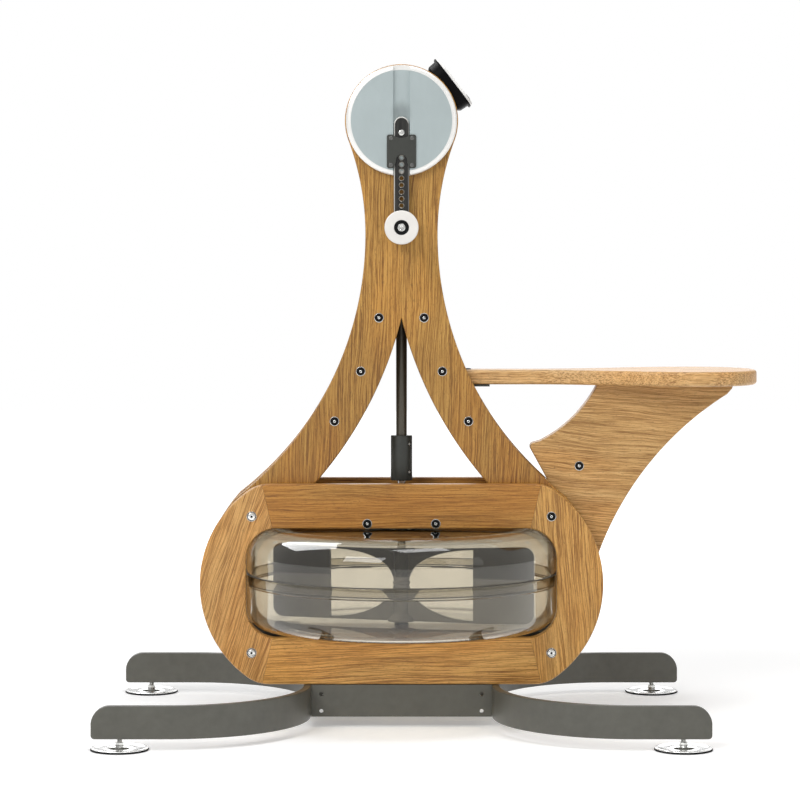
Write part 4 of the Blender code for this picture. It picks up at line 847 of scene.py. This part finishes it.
makeBase()
print("base and feet made")


tank = {"radius": 0.2565, "wall": 0.004, "edge": 0.045, "lowEdge": 0.028, "bottom": 0.152, "footRise": 0.0035,
        "footStart": 0.186, "footEnd": 0.216, "top": 0.320, "collar": 0.023, "collarTop": 0.3257, "lip": 0.2595,
        "seamTop": 0.2455, "shelf": 0.2295, "upperEnd": 0.2315, "hole": 0.0075}


def makeTank():
    # the upper half: collar, roof, quarter round, wall; the same again on the inside
    radius, wall, edge, lowEdge, collar = (tank[key] for key in ("radius", "wall", "edge", "lowEdge", "collar"))
    top, bottom, shelf, rise, lip, seamTop = (tank[key] for key in ("top", "bottom", "shelf", "footRise", "lip",
                                                                    "seamTop"))
    flat, roof, inside = radius - edge, top - edge, radius - wall
    upper = np.concatenate([
        rounded([(tank["hole"], top - wall), (tank["hole"], tank["collarTop"]), (collar, tank["collarTop"]),
                 (collar, top + 0.001), (collar + 0.002, top)], 0.0008, 3),
        arcOf((flat, roof), edge, 90, 0, 18), [[radius, tank["upperEnd"]], [inside, tank["upperEnd"]]],
        arcOf((flat, roof), edge - wall, 0, 90, 14)])
    # the floor stands on a wide flat foot and rises outside it by a smooth step 3t^2 - 2t^3
    t = np.linspace(0, 1, 10)
    flat, floor = radius - lowEdge, bottom + rise + lowEdge
    step = np.stack([tank["footStart"] + (tank["footEnd"] - tank["footStart"]) * t,
                     bottom + rise * t * t * (3 - 2 * t)], axis=1)
    lower = np.concatenate([
        [[0, bottom]], step, arcOf((flat, floor), lowEdge, -90, 0, 18),
        rounded([(radius, shelf - 0.004), (lip, shelf - 0.0015), (lip, seamTop), (radius + 0.0005, seamTop),
                 (radius + 0.0005, shelf)], 0.0008, 3),
        [[inside, shelf]], arcOf((flat, floor), lowEdge - wall, 0, -90, 14),
        step[::-1] + [0, wall], [[0, bottom + wall]]])
    low, high = shelf + 0.0003, shelf + 0.0003 + 0.0014
    ring = [(inside, low), (radius, low), (radius, high), (inside, high)]
    # a dark ring along the top of the seam's lip: painted shadow of the gap there
    low, high = seamTop - 0.0006, seamTop + 0.0010
    bead = rounded([(radius + 0.0002, low), (lip, low), (lip, high), (radius + 0.0002, high)], 0.0006, 4)
    for name, profile, look, slotName, replaced in (
            ("clear_tank_top", upper, tankClear, "clear_plastic", ("tank_top",)),
            ("clear_tank_bottom", lower, tankClear, "clear_plastic", ("tank_bottom",)),
            ("round_tank_gasket", ring, gasketRubber, "black_rubber", ("tank_gasket",)),
            ("round_seam_shadow_ring", bead, gasketRubber, "black_rubber", ())):
        turnedPiece(name, profile, 192, (middleX, 0, 0), "Z", look, "machine", slotName, replaced)


paddle = {"radius": 0.226, "low": 0.163, "high": 0.292, "half": 0.003, "corner": 0.018, "rib": 0.004,
          "bladeInner": 0.124, "waist": 0.0125, "turn": -17.0, "bore": 0.0073}


def makePaddle():
    # a board with two half elliptic windows, turned about the shaft, on a waisted hub
    low, high, corner, half = paddle["low"], paddle["high"], paddle["corner"], paddle["half"]
    inner, waist, bore, collar, bead = paddle["bladeInner"], paddle["waist"], paddle["bore"], tank["collar"], 0.003
    reach, middle, rise = paddle["radius"] - corner, (low + high) / 2, (high - low) / 2 - paddle["rib"]
    right = np.concatenate([arcOf((reach, low + corner), corner, -90, 0, 10),
                            arcOf((reach, high - corner), corner, 0, 90, 10)])
    window = arcOf((0, 0), 1.0, 90, 270, 40) * [inner - waist, rise] + [inner, middle]
    shapes = [boardPoints(np.concatenate([right, flipped(right)]), -half, half, 0.0012, steps=3)]
    shapes += [stackPoints(outline, [(-0.02, 0), (0.02, 0)]) for outline in (window, flipped(window))]
    cos, sin = math.cos(math.radians(paddle["turn"])), math.sin(math.radians(paddle["turn"]))
    blade = []
    for shape, shapeFaces in shapes:
        x, z, y = shape.T
        blade.append((np.stack([x * cos - y * sin, x * sin + y * cos, z], axis=1) + [middleX, 0, 0], shapeFaces))
    meshPiece("paddle_blades", *blade[0], paddlePlastic, "shaft", "dark_plastic", ("paddle",), even=False,
              cutter=joinedShapes(blade[1:]))
    hub = rounded([(bore, low - 0.0005), (collar, low - 0.0005), (collar, low + bead), (waist, low + 0.012),
                   (waist, middle - bead), (waist + bead, middle), (waist, middle + bead), (waist, high - 0.012),
                   (collar, high - bead), (collar, high + 0.0005), (bore, high + 0.0005)], 0.003, 5)
    turnedPiece("paddle_hub", hub, 64, (middleX, 0, 0), "Z", paddlePlastic, "shaft", "dark_plastic")


drive = {"shaft": 0.009, "shaftLow": 0.43455, "shaftTop": 0.9618, "tankShaft": 0.007, "tankShaftLow": 0.159,
         "tankShaftTop": 0.43395, "coupling": 0.018, "couplingLow": 0.397, "couplingTop": 0.4715, "split": 0.43425,
         "setScrew": 0.0028}


def makeDrive():
    centre, shaft, tankShaft = (middleX, 0, 0), drive["shaft"], drive["tankShaft"]
    turnedPiece("round_drive_shaft", rod(shaft, drive["shaftLow"], drive["shaftTop"], 0.0006), 64, centre, "Z",
                shaftDark, "shaft", "dark_steel", ("drive_shaft",))
    turnedPiece("round_tank_shaft", rod(tankShaft, drive["tankShaftLow"], drive["tankShaftTop"], 0.0006), 64, centre,
                "Z", shaftBright, "shaft", "bright_steel", ("tank_shaft",))
    low, high, outer, split = drive["couplingLow"], drive["couplingTop"], drive["coupling"], drive["split"]
    wide, narrow = shaft + 0.0003, tankShaft + 0.0003
    sleeve = [(narrow, low), (outer, low), (outer, high), (wide, high), (wide, split), (narrow, split)]
    sleeve = np.concatenate([sleeve[:1], rounded(sleeve[:4], 0.0016, 4)[1:-1], sleeve[3:]])
    holes, screws = [], []
    for height in (low + 0.014, high - 0.014):
        for degrees in (-39.0, 141.0):
            # pockets and screws point outwards along (cos a, sin a)
            cos, sin = math.cos(math.radians(degrees)), math.sin(math.radians(degrees))
            axes, at = np.array([[-sin, cos, 0], [0, 0, 1], [cos, sin, 0]]), (middleX, 0, height)
            holes.append(turnedShape(rod(0.0034, 0.0155, 0.02), 32, at, axes))
            screws.append(socketScrew(drive["setScrew"], 0.0012, 0.0160, axes, at))
    turnedPiece("turned_coupling", sleeve, 96, centre, "Z", clampPaint, "shaft", "painted_steel", ("shaft_coupling",),
                cutter=joinedShapes(holes))
    meshPiece("coupling_set_screws", *joinedShapes(screws), zinc, "shaft", "bright_steel", sharp=30, even=False)


def socketScrew(radius, height, low, axes, at, socket=0.52, domed=0.3):
    # a round head with a hexagonal socket, made about Z and then laid along its axis
    inner, top, deep = radius * socket, low + height, low + height * 0.25
    profile = [(0, low), (radius * 0.96, low), (radius, low + height * 0.15), (radius, top - height * domed * 1.5),
               (radius * 0.86, top - height * domed * 0.35), (radius * 0.70, top), (inner * 1.12, top),
               (inner, top - height * 0.08), (inner, deep), (0, deep - height * 0.12)]
    return turnedShape(profile, 36, at, axes, hexWave([0, 0, 0, 0, 0, 0, 0.6, 1, 1, 0]))


makeTank()
makePaddle()
makeDrive()
print("tank, paddle and shafts made")


crank = {"disc": 0.091, "back": 0.060, "front": 0.076, "rim": 0.083, "channel": 0.01375, "floor": 0.067,
         "armBack": 0.0673, "armFront": 0.0753, "armHalf": 0.0125, "armTop": 0.006, "length": 0.176,
         "firstHole": 0.0612, "pitch": 0.0112, "holes": 8, "hole": 0.0034, "countersink": 0.0045,
         "clampBack": 0.0763, "clampFront": 0.0803, "clampTop": -0.0234, "clampBottom": -0.0784, "clampHalf": 0.024,
         "clampScrewX": 0.0173, "clampScrewZ": (-0.0291, -0.0732), "stopScrew": 0.0203, "pinHole": 0.0063,
         "boss": 0.018, "bossBack": 0.0585, "fall": 0.0052, "seat": 0.0128, "seatEnd": 0.0643}
discMetal = discLook("turnedAluminium", (middleX, axleZ))
armMetal = armLook("brushedArm", (middleX, axleZ))


def clampOutline():
    # right half: hollow arc at the top, round corners, flared mouth and arch at the bottom
    half, corner, top, bottom = crank["clampHalf"], 0.0035, crank["clampTop"], crank["clampBottom"]
    hollow, deep, arch, flare = crank["armHalf"] + 0.002, 0.0055, 0.0088, crank["armHalf"] + 0.001
    radius = (hollow ** 2 + deep ** 2) / (2 * deep)
    spring = bottom + 0.022 - arch
    right = np.concatenate([
        arcThrough((0, top - deep), (hollow, top), radius, 14, 1),
        arcOf((half - corner, top - corner), corner, 90, 0, 6),
        arcOf((half - corner, bottom + corner), corner, 0, -90, 6),
        [[flare, bottom], [flare - 0.0024, bottom + 0.004], [arch + 0.0003, spring - 0.003]],
        arcOf((0, spring), arch, 0, 90, 16)])
    return np.concatenate([right, flipped(right[1:-1])]) + [0, axleZ]


def makeDisc(side, place, axis):
    # the rim falls away as a quarter ellipse between the flat face and the edge
    centre, disc, back, front = (middleX, 0, axleZ), crank["disc"], crank["back"], crank["front"]
    boss, bossBack, fall, edge = crank["boss"], crank["bossBack"], crank["fall"], crank["channel"]
    turn = np.linspace(0, math.pi / 2, 14)
    rim = np.stack([crank["rim"] + (disc - crank["rim"]) * np.cos(turn), front - fall + fall * np.sin(turn)], axis=1)
    profile = np.concatenate([[[0, bossBack], [boss, bossBack], [boss, back], [disc - 0.0015, back],
                               [disc, back + 0.002]], rim, [[0, front]]])
    low, high = axleZ - 0.1, axleZ + 0.1
    channel, channelFaces = stackPoints([(-edge, low), (edge, low), (edge, high), (-edge, high)],
                                        [(crank["floor"], 0), (0.09, 0)])
    tools = joinedShapes([(standing(channel, side), channelFaces),
                          turnedShape(rod(crank["seat"], 0.05, crank["seatEnd"]), 48, centre, axis)])
    piece = turnedPiece("turned_disc_" + place, profile, 160, centre, axis, discMetal, "crank", "turned_aluminium",
                        ("crank_disc_" + place,), sharp=22, even=True, cutter=tools)
    soft = piece.modifiers.new("softEdge", "BEVEL")
    soft.width, soft.segments, soft.limit_method, soft.angle_limit = 0.0004, 2, "ANGLE", math.radians(50)
    piece.modifiers.move(1, 0)


def makeArm(side, place, axis):
    body, half, length = place + "_arm", crank["armHalf"], crank["length"]
    outline = np.concatenate([arcOf((0, crank["armTop"] - half), half, 0, 180, 28),
                              arcOf((0, -length), half, 180, 360, 28)]) + [0, axleZ]
    points, faces = boardPoints(outline, crank["armBack"], crank["armFront"], 0.0011)
    low, high = crank["armBack"] - 0.005, crank["armFront"]
    peg = [(0, low), (crank["hole"], low), (crank["hole"], high - 0.0011), (crank["countersink"], high + 0.0001),
           (crank["countersink"], high + 0.005), (0, high + 0.005)]
    tools = [turnedShape(peg, 28, (middleX, 0, axleZ - crank["firstHole"] - crank["pitch"] * number), axis)
             for number in range(crank["holes"])]
    tools.append(turnedShape(rod(crank["pinHole"], low, high + 0.005), 32, (middleX, 0, axleZ - length), axis))
    meshPiece("shaped_arm_" + place, standing(points, side), faces, armMetal, body, "dark_steel",
              ("crank_arm_" + place,), cutter=joinedShapes(tools))
    screw = socketScrew(0.0051, 0.0024, high, axisRows(axis), (middleX, 0, axleZ - crank["stopScrew"]), 0.40)
    meshPiece("stop_screw_" + place, *screw, zinc, body, "bright_steel", sharp=30, even=False)


def axisRows(axis):
    # the three directions that go with "Y" or "-Y"
    return [[1, 0, 0], [0, 0, 1], [0, 1 if axis == "Y" else -1, 0]]


grip = {"start": 0.0843, "end": 0.2393, "flange": 0.027, "flangeThickness": 0.007, "body": 0.0175, "swell": 0.0015,
        "bush": 0.0117, "pin": 0.006, "shoulder": 0.010, "socket": 0.0031}


def makeGrip(side, place, axis):
    centre = (middleX, 0, axleZ - crank["length"])
    start, end, thick, flange = grip["start"], grip["end"], grip["flangeThickness"], grip["flange"]
    bushRadius, bore, room = grip["bush"], grip["pin"] + 0.0003, grip["bush"] + 0.0003
    # the body swells as r + s sin(pi t) between the two flanges
    t = np.linspace(0, 1, 40)
    waist = np.stack([grip["body"] + grip["swell"] * np.sin(math.pi * t),
                      start + thick + 0.004 + (end - start - 2 * thick - 0.008) * t], axis=1)
    lower = rounded([(room, start), (flange, start), (flange, start + thick), waist[0]], 0.0022, 6)
    upper = rounded([waist[-1], (flange, end - thick), (flange, end), (room, end)], 0.0022, 6)
    body = np.concatenate([lower[:-1], waist, upper[1:]])
    bush = rounded([(bore, start), (bushRadius, start), (bushRadius, end - 0.0004), (bore, end - 0.0004),
                    (bore, start + 0.001)], 0.0006, 3)
    # the pin: shank in the arm, shoulder, long shank, and a head with a hexagonal socket
    pin, wide, low, tip = grip["pin"], grip["shoulder"], crank["armBack"] + 0.001, end + 0.002
    shoulder, rise, socket = crank["armFront"] + 0.0003, start - 0.0005, grip["socket"]
    bolt = [(0, low), (pin, low), (pin, shoulder), (wide - 0.0006, shoulder), (wide, shoulder + 0.0006),
            (wide, rise - 0.0006), (wide - 0.0006, rise), (pin, rise), (pin, tip - 0.0006), (pin - 0.0006, tip),
            (socket + 0.0005, tip), (socket, tip - 0.0004), (socket, tip - 0.003), (0, tip - 0.0034)]
    turnedPiece("smooth_grip_" + place, body, 96, centre, axis, gripWhite, place + "_grip", "white_plastic",
                ("grip_" + place,), sharp=50)
    turnedPiece("smooth_bush_" + place, bush, 64, centre, axis, rubberBlack, place + "_grip", "black_rubber",
                ("grip_bush_" + place,))
    turnedPiece("smooth_pin_" + place, bolt, 60, centre, axis, zinc, place + "_arm", "bright_steel",
                ("grip_pin_" + place,), sharp=30, wave=hexWave([0] * 10 + [0.7, 1, 1, 0]))


def makeClamp(side, place, axis):
    points, faces = boardPoints(clampOutline(), crank["clampBack"], crank["clampFront"], 0.0008, steps=3)
    meshPiece("shaped_clamp_" + place, standing(points, side), faces, clampPaint, "crank", "painted_steel",
              ("clamp_plate_" + place,))
    heads = [socketScrew(0.0034, 0.0015, crank["clampFront"] - 0.0002, axisRows(axis),
                         (middleX + hand * crank["clampScrewX"], 0, axleZ + z), 0.5)
             for hand in (-1, 1) for z in crank["clampScrewZ"]]
    meshPiece("clamp_screws_" + place, *joinedShapes(heads), gearMetal, "crank", "dark_steel", sharp=30, even=False)


def makeCranks():
    for side, place, axis in ((-1, "front", "-Y"), (1, "rear", "Y")):
        for make in (makeDisc, makeArm, makeGrip, makeClamp):
            make(side, place, axis)


headCover = {"inset": 0.003, "thickness": 0.002, "drop": 0.1215}


def makeHeadCover():
    # a strip bent round the head: the uprights' outline, inset, and the same again one thickness further in
    edge = []
    meeting = math.degrees(math.atan2(waistZ - axleZ, neckX))
    for inset in (headCover["inset"], headCover["inset"] + headCover["thickness"]):
        last = 180 - math.degrees(math.asin((axleZ - headCover["drop"] - waistZ) / (upright["neckRadius"] + inset)))
        edge.append(np.concatenate([
            arcOf((0, axleZ), upright["headRadius"] - inset, 90, meeting, 60),
            arcOf((neckX, waistZ), upright["neckRadius"] + inset, 180 + meeting, last, 12)[1:]]))
    outer, inner = edge
    outline = np.concatenate([flipped(outer)[:-1], outer, inner[::-1], flipped(inner[1:])[::-1]])
    reach = innerFace - boards["clear"]
    points, faces = stackPoints(outline, [(-reach, 0), (reach, 0)])
    meshPiece("bent_head_cover", standing(points), faces, clampPaint, "machine", "painted_steel", ("head_cover",),
              even=False)


monitor = {"rim": 0.0933, "half": 0.048, "corner": 0.026, "back": 0.039, "shoulder": 0.044, "shoulderZ": 0.091,
           "body": 0.045, "flange": 0.0487, "flangeLow": 0.1048, "flangeTop": 0.107, "panelLow": 0.1073,
           "panelTop": 0.1113, "panelEdge": 0.0009, "panel": (0.0472, 0.0465, 0.0245), "button": 0.006,
           "buttonRow": 0.034, "buttonSpread": 0.022, "stem": 0.1091,
           "window": (0.026, 0.036, 0.005, 0.1109, 0.1116, 0.011)}
monitorAxes = np.array([[0.6074, 0, -0.7944], [0, 1, 0], [0.7944, 0, 0.6074]])


def planOf(halfLong, halfWide, corner, steps=8):
    # a rectangle with round corners, always with the same number of points
    signs = ((1, 1), (-1, 1), (-1, -1), (1, -1))
    return np.concatenate([arcOf((across * (halfLong - corner), deep * (halfWide - corner)), corner,
                                 90 * turn, 90 * turn + 90, steps) for turn, (across, deep) in enumerate(signs)])


def planRows(rows):
    # rows of (half length, half width, corner, scale, height or None for the head's curve) round one axis
    points = []
    for halfLong, halfWide, corner, scale, height in rows:
        plan = planOf(halfLong, halfWide, corner) * scale
        z = np.sqrt(monitor["rim"] ** 2 - plan[:, 0] ** 2) if height is None else np.full(len(plan), height)
        points.append(np.column_stack([plan, z]))
    return np.concatenate(points), gridFaces(len(rows), len(points[0]))


def makeMonitor():
    place = (middleX, 0, axleZ)
    half, corner, body, flange = monitor["half"], monitor["corner"], monitor["body"], monitor["flange"]
    shoulder, shoulderZ, low, top = (monitor[key] for key in ("shoulder", "shoulderZ", "flangeLow", "flangeTop"))
    rows = [(monitor["back"], half - 0.002, corner, scale, None) for scale in (0, 0.2, 0.4, 0.6, 0.8, 0.95, 1.0)]
    rows += [(shoulder - 0.0008, half - 0.0004, corner, 1, shoulderZ - 0.0018), (shoulder, half, corner, 1, shoulderZ),
             (body, half, corner, 1, low - 0.0005), (body + 0.0003, half, corner, 1, low),
             (flange - 0.0004, half, corner, 1, low), (flange, half, corner, 1, low + 0.0004),
             (flange, half, corner, 1, top - 0.0003)]
    rows += [(flange - 0.0003, half - 0.0003, corner, scale, top) for scale in (1, 0.5, 0)]
    points, faces = planRows(rows)
    meshPiece("moulded_monitor_housing", along(points, monitorAxes, place), faces, housingBlack, "machine",
              "dark_plastic", ("monitor_housing",), sharp=40)
    low, top, soft, (long, wide, corner) = (monitor[key] for key in ("panelLow", "panelTop", "panelEdge", "panel"))
    rows = [(long, wide, corner, 0, low), (long, wide, corner, 1, low)]
    for angle in np.linspace(0, math.pi / 2, 5):
        drop = soft * (1 - math.cos(angle))
        rows.append((long - drop, wide - drop, corner, 1, top - soft + soft * math.sin(angle)))
    points, faces = planRows(rows + [(long - soft, wide - soft, corner, 0, top)])
    radius, stem, holes = monitor["button"], monitor["stem"], []
    for name, deep in (("front", -1), ("rear", 1)):
        at = np.array(place) + np.array([monitor["buttonRow"], deep * monitor["buttonSpread"], 0]) @ monitorAxes
        holes.append(turnedShape(rod(radius + 0.0006, low - 0.003, top + 0.003), 48, at, monitorAxes))
        button = rounded([(0, stem), (radius, stem), (radius, stem + 0.0035), (0.0035, stem + 0.0037),
                          (0, stem + 0.00345)], 0.0008, 4)
        turnedPiece("moulded_button_" + name, button, 48, at, monitorAxes, rubberBlack, name + "_button",
                    "black_rubber", ("monitor_button_" + name,))
    meshPiece("moulded_monitor_panel", along(points, monitorAxes, place), faces, panelWhite, "machine",
              "panel_plastic", ("monitor_panel",), sharp=40, cutter=joinedShapes(holes))
    long, wide, corner, low, top, shift = monitor["window"]
    points, faces = planRows([(long, wide, corner, 0, low), (long, wide, corner, 1, low),
                              (long, wide, corner, 1, top - 0.0002), (long - 0.0004, wide - 0.0004, corner, 1, top),
                              (long - 0.0004, wide - 0.0004, corner, 0, top)])
    meshPiece("monitor_window", along(points - [shift, 0, 0], monitorAxes, place), faces, screenGlass, "machine",
              "dark_plastic", sharp=30)


def cupWasher(radius, width, rise, rows, at):
    # a ring whose inner edge turns down; rise holds the offsets and heights of its crown
    edge = radius - width
    profile = [(edge, 0.0), (radius, 0.0), (radius, 0.0007), (radius - rise[0], rise[1]),
               (radius - rise[2], rise[1] + 0.0001), (radius - rise[3], rise[4]), (edge, rise[5])]
    return turnedShape(profile, 40, at, rows)


def boltParts(radius, at, axis):
    # a bright cup washer, a black button head, in it a bright ring painted as the glint inside the socket, and a black
    # disc in that, painted shade
    rows = axisRows(axis)
    cup = cupWasher(radius, 0.0022, (0.0005, 0.0013, 0.0010, 0.0013, 0.0009, 0.0006), rows, at)
    head = [(0.0018, 0.0002), (radius - 0.0014, 0.0002), (radius - 0.0013, 0.0012), (radius - 0.0021, 0.0022),
            (radius - 0.0038, 0.0028), (0.0034, 0.0029), (0.0028, 0.0026), (0.0026, 0.0012), (0.0018, 0.0010)]
    socketShade = [(0, 0.0013), (0.0009, 0.0013), (0.0009, 0.0017), (0, 0.0018)]
    return ([cup, socketScrew(0.0026, 0.0010, 0.0011, rows, at, 0.50, 0.6)],
            [turnedShape(head, 40, at, rows), turnedShape(socketShade, 16, at, rows)])


def silverParts(radius, at, axis):
    # a bright cup washer, a black disc under the head as painted shadow in the gap, a bright button head with a
    # hexagonal socket, and a black disc in the socket as painted shade
    rows = axisRows(axis)
    cup = cupWasher(radius, 0.0014, (0.0004, 0.0012, 0.0008, 0.0011, 0.0008, 0.0005), rows, at)
    socketShade = [(0, 0.0009), (0.0017, 0.0009), (0.0017, 0.0014), (0, 0.0015)]
    return ([cup, socketScrew(radius - 0.0018, 0.0026, 0.0004, rows, at, 0.36, 0.5)],
            [turnedShape(rod(radius - 0.0012, 0.0, 0.0003), 40, at, rows), turnedShape(socketShade, 16, at, rows)])


fixings = {"leg": [(0.037, 0.668), (0.067, 0.580), (0.110, 0.498)], "railBolt": (0.056, 0.332),
           "lower": (0.245, 0.121), "gusset": (0.294, 0.422), "nose": 0.1095, "bolt": 0.0080, "screw": 0.0083}


def makeFixings():
    # the same fixings on both faces; those of one material are one piece
    for side, place, axis in ((-1, "front", "-Y"), (1, "rear", "Y")):
        bright, dark = [], []

        def fix(parts, radius, spot, hands, depth):
            for hand in hands:
                at = (middleX + hand * spot[0], side * depth, spot[1])
                for pieces, made in zip((bright, dark), parts(radius, at, axis)):
                    pieces.extend(made)

        for spot in fixings["leg"]:
            fix(boltParts, fixings["bolt"], spot, (-1, 1), outerFace)
        fix(boltParts, fixings["bolt"], fixings["railBolt"], (-1, 1), frameFar)
        fix(boltParts, fixings["bolt"], fixings["gusset"], (1,), gusset["half"])
        fix(boltParts, fixings["bolt"], frameRing["rodPlace"], (1,), frameFar)
        fix(silverParts, fixings["screw"], frameRing["rodPlace"], (-1,), frameFar)
        fix(silverParts, fixings["screw"], fixings["lower"], (1, -1), frameFar)
        # the bright piece holds the painted glints in the black bolts' sockets, the dark one the painted shade discs
        meshPiece("bright_fixings_" + place, *joinedShapes(bright), zinc, "machine", "bright_steel", sharp=30,
                  even=False)
        meshPiece("dark_fixings_" + place, *joinedShapes(dark), blackened, "machine", "dark_steel", sharp=30,
                  even=False)
    nose = socketScrew(0.0062, 0.0020, seat["top"] - 0.0002, np.eye(3), (middleX + fixings["nose"], 0, 0), 0.45)
    meshPiece("seat_nose_bolt", *nose, blackened, "machine", "dark_steel", sharp=30, even=False)


def finishNodes():
    # CAD nodes whose shape is right keep it and get a finish
    for look, names in ((basePaint, "base_plate_front base_plate_rear"), (clampPaint, "seat_bracket"),
                        (castMetal, "tank_hanger crank_bearing_front crank_bearing_rear shaft_bearing"),
                        # the tank's supports and floor bearing get the painted shade black
                        (supportShadeBlack, "tank_support_left tank_support_right tank_floor_bearing"),
                        (shaftBright, "corner_spacer_left corner_spacer_right"), (zinc, "crank_axle"),
                        (gearMetal, "crown_gear drive_pinion")):
        for name in names.split():
            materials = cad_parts[name].data.materials
            materials.clear()
            materials.append(look)


makeCranks()
makeHeadCover()
makeMonitor()
makeFixings()
finishNodes()
print("cranks, head, monitor and fixings made")


stage = {"floor": (0.86, 0.86, 0.86), "glow": 0.84, "mirrored": 1.0, "near": 0.35, "nearReach": 0.9, "farReach": 2.5,
         "worldGlossy": 0.7, "world": 0.45, "reach": 9, "low": -0.0005}


def makeStage():
    # the floor is lit by the lamps and also glows for the camera, more the further it is from the machine
    look = Look("paleFloor")
    camera, glossy, clear = look.rays("Is Camera Ray", "Is Glossy Ray", "Is Transmission Ray")
    far = look.step(look.length(look.place()), stage["nearReach"], stage["farReach"])
    look.surface(colour=stage["floor"], roughness=0.9, specular=0.0)
    mirrored = (glossy + clear).math("MINIMUM", 1.0)
    strength = camera * (far * (1 - stage["near"]) + stage["near"]) * stage["glow"] + mirrored * stage["mirrored"]
    glow = look.node("ShaderNodeEmission", {}, {"Color": (1, 1, 1), "Strength": strength})
    look.show(look.node("ShaderNodeAddShader", {}, {0: Wire(look, look.shader.outputs[0]), 1: glow}))
    mesh = bpy.data.meshes.new("floor")
    reach, low = stage["reach"], stage["low"]
    mesh.from_pydata([(-reach, -reach, low), (reach, -reach, low), (reach, reach, low), (-reach, reach, low)], [],
                     [(0, 1, 2, 3)])
    mesh.materials.append(look.material)
    floor = linked("floor", mesh)


def makeWorld():
    # white for the camera and through clear plastic, paler grey in reflections, dimmer as a light
    world = bpy.data.worlds.new("studio")
    bpy.context.scene.world = world
    world.use_nodes = True
    look = Look("studioPaths")
    bpy.data.materials.remove(look.material)
    look.tree = world.node_tree
    camera, glossy, clear = look.rays("Is Camera Ray", "Is Glossy Ray", "Is Transmission Ray")
    white = camera + clear
    shine = glossy * (stage["worldGlossy"] - stage["world"]) + stage["world"]
    back = look.tree.nodes["Background"]
    back.inputs["Color"].default_value = (1, 1, 1, 1)
    look.put(back.inputs["Strength"], white.math("MAXIMUM", shine))


# a card gives highlights and no light
lamps = {"key": {"place": (-2.0, -3.4, 2.8), "aim": (0, 0, 0.5), "size": (2.2, 1.6), "power": 88},
         "fill": {"place": (2.8, -2.6, 1.6), "aim": (0, 0, 0.5), "size": (2.0, 2.0), "power": 11},
         "top": {"place": (0.5, -0.8, 3.4), "aim": (0, 0, 0.4), "size": (1.5, 0.8), "power": 32},
         "back": {"place": (0.0, 3.4, 1.6), "aim": (0, 0, 0.5), "size": (3.0, 1.6), "power": 26},
         "card": {"place": (-2.0, 0.9, 2.8), "aim": (0, 0, 0.4), "size": (1.9, 1.7), "power": 120, "cardOnly": True}}
view = {"focal": 3010, "pixels": 800, "left": 1.5, "horizon": 240, "distance": 5.0, "height": 0.7957}


def makeLight(name, place, aim, size, power, cardOnly=False):
    # no lamp shows through the clear tank
    lamp = bpy.data.lights.new(name, "AREA")
    lamp.shape = "RECTANGLE"
    lamp.size, lamp.size_y = size
    lamp.energy = power
    light = linked(name, lamp)
    light.location = place
    light.visible_transmission = False
    light.visible_diffuse = not cardOnly
    away = np.array(place) - np.array(aim)
    light.rotation_euler = (math.acos(away[2] / np.linalg.norm(away)), 0, math.atan2(away[0], -away[1]))


def makeCamera():
    # level, aimed along Y; focal length, horizon and middle are in pixels of a square picture
    lens = bpy.data.cameras.new("camera")
    lens.sensor_width = 36
    lens.lens = view["focal"] / view["pixels"] * lens.sensor_width
    lens.shift_x = -view["left"] / view["pixels"]
    lens.shift_y = (view["horizon"] - view["pixels"] / 2) / view["pixels"]
    lens.clip_end = 50
    camera = linked("camera", lens)
    camera.location = (middleX, -view["distance"], view["height"])
    camera.rotation_euler = (math.pi / 2, 0, 0)
    bpy.context.scene.camera = camera


makeStage()
makeWorld()
for name, values in lamps.items():
    makeLight(name, **values)
makeCamera()
bpy.context.scene.view_settings.view_transform = "Standard"
print("stage, lights and camera made")
